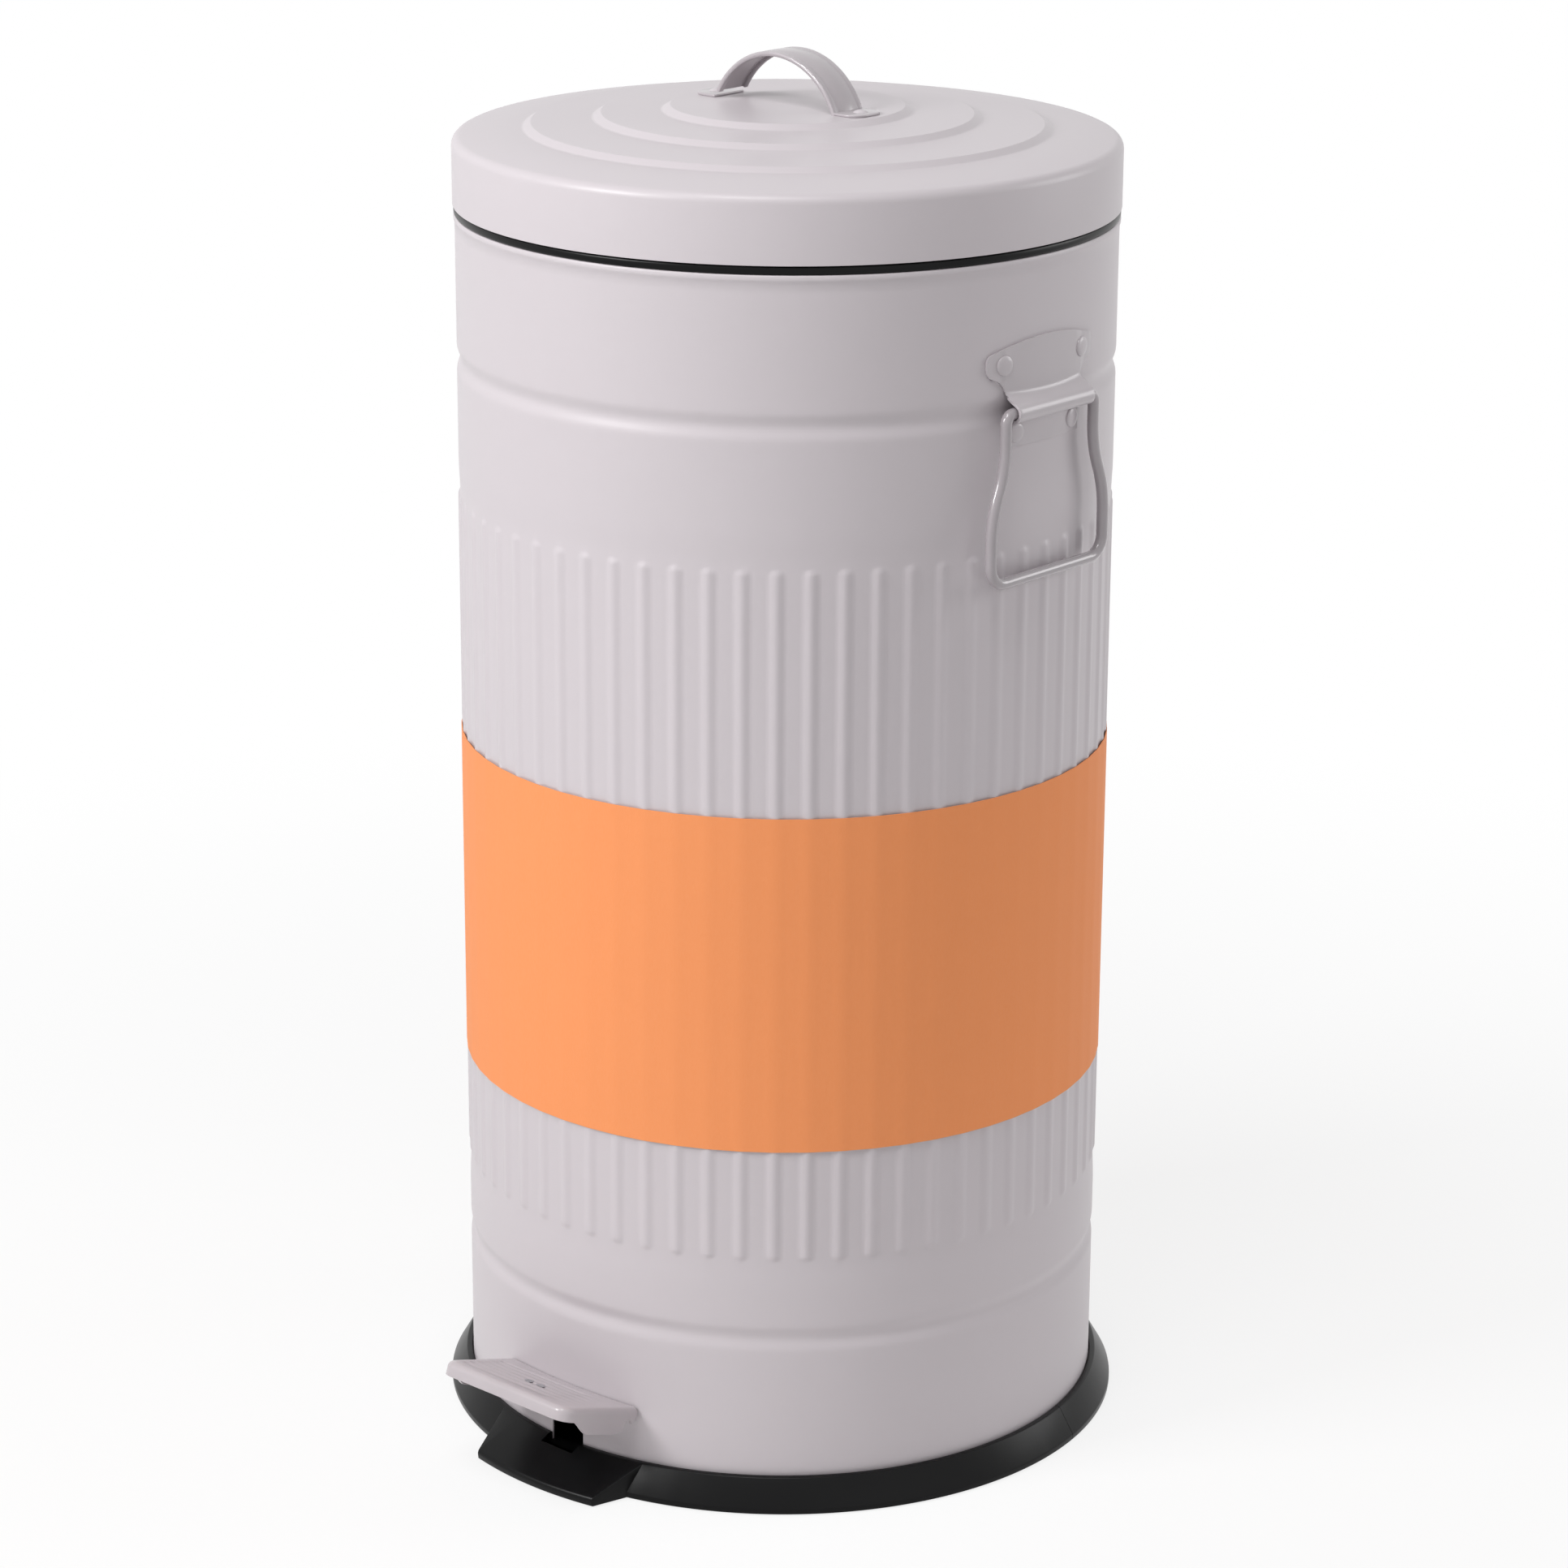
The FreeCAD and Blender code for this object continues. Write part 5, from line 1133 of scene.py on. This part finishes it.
@dataclass
class LidStrap:
    """Arched strap, hemmed along both edges, with a rounded foot at each end."""

    half_span: float = 36.5
    rise: float = 24.4
    half_width: float = 10.0
    sheet: float = 1.2
    hem_width: float = 2.9
    hem_depth: float = 2.3
    groove: float = 0.32
    base: float = 620.4
    foot_end: float = 49.5
    foot_corner: float = 7.0
    foot_start: float = 35.4
    steps: int = 56

    def section(self) -> list[tuple[float, float]]:
        """Half outline across the strap, from its middle above round to its middle below.

        Returns:
            (across, up) of each point, up from the strap's upper face.
        """
        edge = self.half_width
        seam = edge - self.hem_width
        low = -self.hem_depth
        return [(0.0, 0.1), (seam - 1.6, 0.0), (seam - 0.8, -self.groove), (seam, -self.groove),
                (seam + 0.7, -0.02), (edge - 0.9, 0.0), (edge - 0.3, -0.25), (edge, -0.85), (edge, low + 0.7),
                (edge - 0.35, low + 0.15), (edge - 1.0, low), (seam + 0.4, low), (seam, low + 0.3),
                (seam, -self.sheet), (0.0, -self.sheet)]

    def build(self, finish: Finish) -> Piece:
        """Spins the section along the arch and adds the feet.

        Args:
            finish: What the strap is coated with.

        Returns:
            The finished strap.
        """
        radius = (self.half_span ** 2 + self.rise ** 2) / (2 * self.rise)
        sweep = math.asin(self.half_span / radius)
        half = self.section()
        ring = half + [(-across, up) for across, up in reversed(half[1:-1])]
        points = [Vector((radius + up, across, 0.0)) for across, up in ring]
        arch = Bench.chain("lid_strap", [*points, points[0]])
        Bench.merge()
        Bench.spin(self.steps, sweep * 2, axis=(0.0, 1.0, 0.0))
        Bench.cap()
        Bench.clear()
        middle = sum((Vector(corner) for corner in arch.bound_box), Vector()) / 8
        lean = math.atan2(middle.z, middle.x)
        upright = Matrix.Rotation(lean - math.pi / 2, 4, "Y")
        Bench.place(arch, Matrix.Translation((0.0, 0.0, self.base + self.rise - radius)) @ upright)
        feet = Bench.copies(self.foot(), [Matrix.Rotation(turn, 4, "Z") for turn in (0.0, math.pi)])
        piece = Bench.join([arch, feet], "lid_strap")
        return Bench.hand_over(piece, "lid", finish, ("lid_handle",), smooth=40.0)

    def foot(self) -> Piece:
        """Makes one rounded foot of flat sheet.

        Returns:
            The foot.
        """
        across = self.half_width
        start, end = self.foot_start, self.foot_end
        corners = [(start, -across), (end, -across, self.foot_corner), (end, across, self.foot_corner),
                   (start, across)]
        outline = [Vector((side, up, self.base)) for side, up in rounded(corners, 8, closed=True)]
        piece = Bench.sheet("strap_foot", outline)
        bpy.ops.mesh.extrude_region_move(TRANSFORM_OT_translate={"value": (0.0, 0.0, self.sheet)})
        Bench.weld()
        Bench.soften(piece, 0.4, 60.0, 3)
        return piece


@dataclass
class SideBracket:
    """Riveted plate that follows the body and swells into a tunnel over the bail's wire."""

    node: str
    name: str
    half_turn: bool
    face: float = 151.25
    sheet: float = 1.2
    ear_half: float = 36.5
    ear_corner: float = 5.0
    ear_bottom: float = 521.5
    shoulder: float = 532.0
    top: float = 538.0
    neck_half: float = 26.0
    neck_bend: float = 8.0
    foot: float = 491.0
    foot_half: float = 25.0
    axis_height: float = 507.0
    axis_out: float = 153.4
    tube: float = 4.4
    column: float = 2.0
    crown_inset: float = 0.8
    ear_lift: float = 0.5
    shoulder_lift: float = 0.3
    shoulder_corner: float = 4.0
    foot_corner: float = 0.8
    neck_drop: float = 5.0
    upper_turn_share: float = 0.86
    lower_turn_share: float = 0.96
    upper_slope: float = 1.7
    lower_slope: float = 3.4
    upper_ease: float = 3.4
    lower_ease: float = 0.9

    def outline(self) -> list[Vector]:
        """Draws the outline of the flat plate, seen from its front.

        Returns:
            Its points, as (0, across, up).
        """
        ear, neck, neck_foot = self.ear_half, self.neck_half, self.axis_height - self.neck_drop
        side = ear - self.ear_corner - self.crown_inset
        crown = [side * math.cos(math.pi * step / 12) for step in range(1, 12)]
        rise = self.top - self.shoulder
        arch = [(across, self.shoulder + rise * (1.0 - (across / ear) ** 2)) for across in crown]
        low, high = self.ear_bottom + self.ear_lift, self.shoulder + self.shoulder_lift
        corners = [(-self.foot_half, self.foot, self.foot_corner),
                   (self.foot_half, self.foot, self.foot_corner), (neck, neck_foot),
                   (neck, self.ear_bottom, self.neck_bend), (ear, low, self.ear_corner),
                   (ear, high, self.shoulder_corner), *arch, (-ear, high, self.shoulder_corner),
                   (-ear, low, self.ear_corner), (-neck, self.ear_bottom, self.neck_bend), (-neck, neck_foot)]
        return [Vector((0.0, across, up)) for across, up in rounded(corners, 6, closed=True)]

    def hood(self, height: float) -> float:
        """Works out how far out the tunnel's face lies.

        Args:
            height: Distance above the floor.

        Returns:
            The distance from the body's axis.
        """
        away = abs(height - self.axis_height) / self.tube
        upper = height > self.axis_height
        turn = self.upper_turn_share if upper else self.lower_turn_share
        slope = self.upper_slope if upper else self.lower_slope
        if away < turn:
            return self.axis_out + self.tube * math.sqrt(1.0 - away * away)
        return self.axis_out + self.tube * (math.sqrt(1.0 - turn * turn) - slope * (away - turn))

    def out(self, across: float, height: float) -> float:
        """Works out how far out the bracket's face lies.

        Args:
            across: Distance from the bracket's middle line.
            height: Distance above the floor.

        Returns:
            The distance from the body's middle plane.
        """
        plate = math.sqrt(self.face ** 2 - across ** 2)
        if abs(across) > self.neck_half + 0.1:
            return plate
        hood = self.hood(height)
        ease = self.upper_ease if height > self.axis_height else self.lower_ease
        share = max(ease - abs(plate - hood), 0.0) / ease
        return max(plate, hood) + share * share * ease / 4

    def build(self, finish: Finish) -> Piece:
        """Cuts the flat plate into small fields, bends it and gives it its thickness.

        Args:
            finish: What the bracket is coated with.

        Returns:
            The finished bracket.
        """
        piece = Bench.sheet(self.name, self.outline())
        columns = [self.column * number for number in range(-18, 19)]
        rows = [self.axis_height + self.tube * step / 8 for step in range(-11, 20)]
        Bench.slices(1, columns)
        Bench.slices(2, rows)
        Bench.merge()
        self.bend(piece)
        Bench.face_along(piece, 0)
        Bench.modify(piece, "SOLIDIFY", thickness=self.sheet, offset=-1.0, use_even_offset=True)
        Bench.soften(piece, 0.28, 55.0, 2)
        if self.half_turn:
            Bench.place(piece, Matrix.Rotation(math.pi, 4, "Z"))
        return Bench.hand_over(piece, "body", finish, (self.node,), smooth=40.0)

    def bend(self, piece: Piece) -> None:
        """Moves each small field of the flat plate out to the bracket's face.

        Args:
            piece: The plate, in edit mode.
        """
        mesh = bmesh.from_edit_mesh(piece.data)
        spots = sorted({(round(abs(vertex.co.y), 2), round(vertex.co.z, 2)) for vertex in mesh.verts})
        for across, height in spots:
            Bench.shift(piece, Vector((self.out(across, height), 0.0, 0.0)),
                        lambda spot: spot.x < 1.0 and abs(abs(spot.y) - across) < 0.006
                        and abs(spot.z - height) < 0.006)


@dataclass
class DiscRivets:
    """Four flat-headed rivets of a side bracket."""

    node: str
    name: str
    half_turn: bool
    face: float = 151.25
    head: float = 4.6
    high: float = 1.15
    spots: tuple[tuple[float, float], ...] = ((527.6, 10.2), (527.6, -10.2), (497.2, 7.4), (497.2, -7.4))

    def build(self, finish: Finish) -> Piece:
        """Lathes one head and sets a copy at each spot.

        Args:
            finish: What the rivets are coated with.

        Returns:
            The finished heads.
        """
        crown = [(0.0, self.high), (self.head * 0.55, self.high - 0.08), (self.head - 0.9, self.high - 0.3),
                 (self.head - 0.25, self.high - 0.62, 0.5), (self.head, -0.5), (0.0, -0.5)]
        piece = Bench.lathe(self.name, rounded(crown, 4), 40)
        Bench.clear()
        base = math.pi if self.half_turn else 0.0
        outward = Matrix.Rotation(math.pi / 2, 4, "Y")
        places = [Matrix.Rotation(base + math.radians(turn), 4, "Z")
                  @ Matrix.Translation((self.face, 0.0, height)) @ outward for height, turn in self.spots]
        return Bench.hand_over(Bench.copies(piece, places), "body", finish, (self.node,), smooth=40.0)


@dataclass
class PedalPlate:
    """Pressed pedal: grooved top, thick rounded front, apron and a lobed flange at each side."""

    sheet: float = 1.5
    half_rear: float = 41.0
    half_front: float = 39.5
    reach: float = 42.0
    corner: float = 7.0
    hug: float = 152.0
    edge_round: float = 2.8
    edge_steps: int = 7
    rear_reach: float = 0.9
    apron: float = 6.6
    flange: float = 12.4
    lobe_front: float = -24.0
    lobe_back: float = -8.0
    lobe_ease: float = 11.0
    lip: float = 6.0
    lip_notch: float = 12.4
    groove_left: float = -35.0
    groove_right: float = 21.0
    groove_left_ease: float = 2.0
    groove_right_ease: float = 3.0
    groove_first: float = -4.6
    groove_pitch: float = 5.2
    groove_width: float = 3.4
    groove_slope: float = 1.6
    groove_depth: float = 1.0
    groove_count: int = 6
    place: tuple[float, float, float] = (0.0, -151.912, 42.646)
    tilt: float = 18.6

    def rear(self, side: float) -> float:
        """Where the hollow back edge lies at a side place."""
        return self.rear_reach + self.hug - math.sqrt(self.hug ** 2 - side ** 2)

    def outline(self) -> list[Vector]:
        """Draws the pedal's outline from above.

        Returns:
            Its points, on the upper face.
        """
        wide = self.half_rear
        corners = [(-wide, self.rear(wide)), (-self.half_front, -self.reach, self.corner),
                   (self.half_front, -self.reach, self.corner), (wide, self.rear(wide))]
        arc = [(wide * share / 10, self.rear(wide * share / 10)) for share in range(9, -10, -1)]
        return [Vector((side, along, self.sheet)) for side, along in rounded(corners + arc, 9, closed=True)]

    def hem(self, along: float) -> float:
        """Works out the height of the lower edge of the apron and flanges.

        Args:
            along: Distance from the pedal's rear middle, negative to the front.

        Returns:
            The height.
        """
        apron = self.sheet - self.apron
        deep = self.sheet - self.flange
        back = self.rear(self.half_rear)
        if along < self.lobe_front:
            share = min((self.lobe_front - along) / self.lobe_ease, 1.0)
            return deep + (apron - deep) * share * share * (3 - 2 * share)
        if along > self.lobe_back:
            share = min((along - self.lobe_back) / (back - self.lobe_back), 1.0)
            return deep + (self.sheet - self.lip - deep) * share * share
        return deep

    def build(self, finish: Finish) -> Piece:
        """Extrudes the outline into a tray, rounds it, presses the grooves and shapes its lower edge.

        Args:
            finish: What the pedal is coated with.

        Returns:
            The finished pedal.
        """
        piece = Bench.sheet("pedal", self.outline())
        bpy.ops.mesh.extrude_region_move(TRANSFORM_OT_translate={"value": (0.0, 0.0, -self.flange)})
        Bench.weld()
        low = self.sheet - self.flange
        if Bench.pick_faces(piece, lambda middle, normal: middle.z < low + 0.1 or (
                normal.y > 0.5 and abs(middle.x) < self.lip_notch)):
            bpy.ops.mesh.delete(type="FACE")
        back = self.rear(self.half_rear)
        Bench.pick(piece, lambda spot: spot.z > self.sheet - 0.1 and (
            spot.y < -1.0 or abs(spot.x) > self.half_rear - 0.1))
        bpy.ops.mesh.bevel(offset=self.edge_round, segments=self.edge_steps, affect="EDGES")
        self.press_grooves(piece)
        Bench.slices(1, [back * share / 6 for share in range(-5, 6)])
        self.shape_hem(piece, low)
        Bench.face_along(piece, 2)
        Bench.modify(piece, "SOLIDIFY", thickness=self.sheet, offset=-1.0, use_even_offset=True)
        Bench.soften(piece, 0.3, 55.0, 2)
        Bench.place(piece, Matrix.Translation(self.place) @ Matrix.Rotation(-math.radians(self.tilt), 4, "X"))
        return Bench.hand_over(piece, "pedal", finish, ("pedal_plate",), smooth=40.0)

    def press_grooves(self, piece: Piece) -> None:
        """Presses the long soft grooves into the top.

        Args:
            piece: The pedal, in edit mode.
        """
        slope = self.groove_slope
        fronts = [self.groove_first - self.groove_pitch * number for number in range(self.groove_count)]
        lines = [front - along for front in fronts
                 for along in (0.0, slope, self.groove_width - slope, self.groove_width)]
        Bench.slices(1, lines)
        left, right = self.groove_left + self.groove_left_ease, self.groove_right - self.groove_right_ease
        Bench.slices(0, (self.groove_left, left, right, self.groove_right))
        inset = slope - SAME_PLACE
        for front in fronts:
            Bench.shift(piece, Vector((0.0, 0.0, -self.groove_depth)),
                        lambda spot: spot.z > self.sheet - 0.05
                        and left - SAME_PLACE < spot.x < right + SAME_PLACE
                        and front - self.groove_width + inset < spot.y < front - inset)

    def shape_hem(self, piece: Piece, low: float) -> None:
        """Lifts the lower edge from the flange's depth to where the hem runs.

        Args:
            piece: The pedal, in edit mode.
            low: Height of the lower edge before this.
        """
        mesh = bmesh.from_edit_mesh(piece.data)
        Bench.shift(piece, Vector((0.0, 0.0, self.flange - self.lip)),
                    lambda spot: spot.z < low + 0.05 and spot.y > -0.1 and abs(spot.x) < self.half_rear - 0.1)
        places = sorted({round(vertex.co.y, 3) for vertex in mesh.verts if vertex.co.z < low + 0.05})
        for along in places:
            Bench.shift(piece, Vector((0.0, 0.0, self.hem(along) - low)),
                        lambda spot: spot.z < low + 0.05 and abs(spot.y - along) < 0.002)


@dataclass
class CarriedNodes:
    """The solids that are shown as they are."""

    def dress(self) -> None:
        """Gives each node the finish of its slot."""
        finishes = {Slot.PAINT: POWDER_COAT, Slot.BAND: ORANGE_PAPER, Slot.PLASTIC: BLACK_PLASTIC,
                    Slot.PEDAL: SHADED_PEDAL_COAT, Slot.ZINC: ZINC, Slot.RUBBER: RUBBER}
        for part in frame["record"]["subparts"]:
            node = frame["nodes"][part["node"]]
            finish = finishes[Slot(part["material_slot"])]
            if part["node"] == "inner_bucket":
                finish = BUCKET_PLASTIC
            # The bails take the darker copy of the body's paint, which paints shade on them.
            if part["node"] in ("right_bail", "left_bail"):
                finish = SHADED_BAIL_COAT
            if not node.material_slots:
                node.data.materials.append(finish.material())
            for slot in node.material_slots:
                slot.material = finish.material()
            LOG.info("%s: %s", part["node"], finish.name)


@dataclass
class Lamp:
    """A soft square lamp beside the camera's line of sight that points at a place."""

    name: str
    turn: float
    distance: float
    height: float
    size: float
    power: float

    def build(self, azimuth: float, aim: Vector) -> Piece:
        """Sets up the lamp.

        Args:
            azimuth: The camera's turn from the front, in degrees.
            aim: Where the lamp points.

        Returns:
            The lamp.
        """
        data = bpy.data.lights.new(self.name, "AREA")
        data.shape = "SQUARE"
        data.size = self.size
        data.energy = self.power
        lamp = bpy.data.objects.new(self.name, data)
        lamp.location, = on_meridian(math.radians(azimuth + self.turn), [(self.distance, self.height)])
        lamp.rotation_euler = (aim - lamp.location).to_track_quat("-Z", "Y").to_euler()
        bpy.context.scene.collection.objects.link(lamp)
        return lamp


@dataclass
class Studio:
    """White floor and background, four soft lamps and the camera."""

    azimuth: float = 41.4
    distance: float = 2.0449
    height: float = 0.9622
    tilt: float = 17.954
    roll: float = 0.00551
    lens: float = 104.95
    world_light: float = 0.3
    near_glow: float = 0.8
    near: float = 0.3
    far: float = 1.1
    floor_size: float = 14.0
    floor_shade: Colour = (0.9, 0.9, 0.9)
    white: Colour = (1.0, 1.0, 1.0)
    sensor: float = 36.0
    clip_start: float = 0.05
    clip_end: float = 50.0
    aim: Vector = Vector((0.0, 0.0, 0.32)).freeze()
    lamps: tuple[Lamp, ...] = (
        Lamp("key", turn=-62.0, distance=1.9, height=1.5, size=0.75, power=30.4),
        Lamp("fill", turn=35.0, distance=2.4, height=0.9, size=1.6, power=1.5),
        Lamp("rim", turn=100.0, distance=1.8, height=0.9, size=0.8, power=8.0),
        Lamp("top", turn=-20.0, distance=0.9, height=2.2, size=0.7, power=13.5))

    def seen(self, tree: Tree) -> Socket:
        """Makes a mask that is one where the camera, or a mirror or glass, looks.

        Args:
            tree: The tree that asks.

        Returns:
            The output of the mask.
        """
        paths = tree.add("LightPath").outputs
        looked_at = tree.math("ADD", paths["Is Camera Ray"], paths["Is Glossy Ray"], clamp=True)
        return tree.math("ADD", looked_at, paths["Is Transmission Ray"], clamp=True)

    def build_world(self) -> None:
        """Soft light from all round, white where the camera sees it."""
        world = bpy.data.worlds.new("studio")
        bpy.context.scene.world = world
        world.use_nodes = True
        world.node_tree.nodes.clear()
        tree = Tree(world.node_tree)
        soft = tree.add("Background", Color=self.white, Strength=self.world_light)
        white = tree.add("Background", Color=self.white, Strength=1.0)
        mix = tree.add("MixShader", Fac=self.seen(tree))
        tree.feed(mix.inputs[1], soft.outputs[0])
        tree.feed(mix.inputs[2], white.outputs[0])
        tree.add("OutputWorld", Surface=mix.outputs[0])

    def build_floor(self) -> Piece:
        """Pale floor that keeps the object's shadow and is white where it is clear.

        Returns:
            The floor.
        """
        Bench.clear()
        bpy.ops.mesh.primitive_plane_add(size=self.floor_size, location=ORIGIN)
        floor = bpy.context.object
        floor.name = "floor"
        material = bpy.data.materials.new("floor_white")
        material.use_nodes = True
        material.node_tree.nodes.clear()
        tree = Tree(material.node_tree)
        matt = tree.add("BsdfDiffuse", Color=self.floor_shade)
        glow = tree.add("Emission", Color=self.white, Strength=1.0)
        place = tree.add("TexCoord")
        away = tree.add("VectorMath", {"operation": "LENGTH"})
        tree.feed(away.inputs[0], place.outputs["Object"])
        clear = tree.add("MapRange", {"interpolation_type": "SMOOTHSTEP"},
                         Value=away.outputs["Value"])
        tree.feed(clear.inputs["From Min"], self.near)
        tree.feed(clear.inputs["From Max"], self.far)
        tree.feed(clear.inputs["To Min"], self.near_glow)
        mix = tree.add("MixShader", Fac=tree.math("MULTIPLY", self.seen(tree), clear.outputs[0]))
        tree.feed(mix.inputs[1], matt.outputs[0])
        tree.feed(mix.inputs[2], glow.outputs[0])
        tree.add("OutputMaterial", Surface=mix.outputs[0])
        floor.data.materials.append(material)
        return floor

    def build_camera(self) -> Piece:
        """Sets the camera where the photograph was taken from.

        Returns:
            The camera.
        """
        turn = math.radians(self.azimuth)
        tilt = math.radians(self.tilt)
        inward = Vector((-math.sin(turn), math.cos(turn), 0.0))
        right = Vector((math.cos(turn), math.sin(turn), 0.0))
        ahead = inward * math.cos(tilt) - Vector((0.0, 0.0, math.sin(tilt)))
        above = right.cross(ahead)
        level = right * math.cos(self.roll) + above * math.sin(self.roll)
        upward = above * math.cos(self.roll) - right * math.sin(self.roll)
        data = bpy.data.cameras.new("camera")
        data.lens = self.lens
        data.sensor_width = self.sensor
        data.clip_start = self.clip_start
        data.clip_end = self.clip_end
        camera = bpy.data.objects.new("camera", data)
        place = -inward * self.distance + Vector((0.0, 0.0, self.height))
        facing = Matrix((level, upward, -ahead)).transposed().to_4x4()
        camera.matrix_world = Matrix.Translation(place) @ facing
        bpy.context.scene.collection.objects.link(camera)
        bpy.context.scene.camera = camera
        return camera

    def build(self) -> None:
        """Builds the background, the floor, the lamps and the camera."""
        self.build_world()
        self.build_floor()
        for lamp in self.lamps:
            lamp.build(self.azimuth, self.aim)
        self.build_camera()
        bpy.context.scene.view_settings.view_transform = "Standard"


def main() -> None:
    """Builds the studio, dresses the nodes and models the pieces that replace them."""
    logging.basicConfig(level=logging.INFO, format="%(message)s")
    Studio().build()
    CarriedNodes().dress()
    BodyShell().build(POWDER_COAT)
    PaperBand().build(ORANGE_PAPER)
    RimRing().build(BLACK_PLASTIC)
    Lid().build(POWDER_COAT)
    BaseRing().build(BLACK_PLASTIC)
    LidStrap().build(SHADED_STRAP_COAT)
    PedalPlate().build(SHADED_PEDAL_COAT)
    for side, half_turn in (("right", False), ("left", True)):
        SideBracket(f"{side}_handle_bracket", f"{side}_bracket", half_turn).build(SHADED_PLATE_COAT)
        DiscRivets(f"{side}_handle_rivets", f"{side}_rivet_heads", half_turn).build(SHADED_PLATE_COAT)


if __name__ == "__main__":
    main()
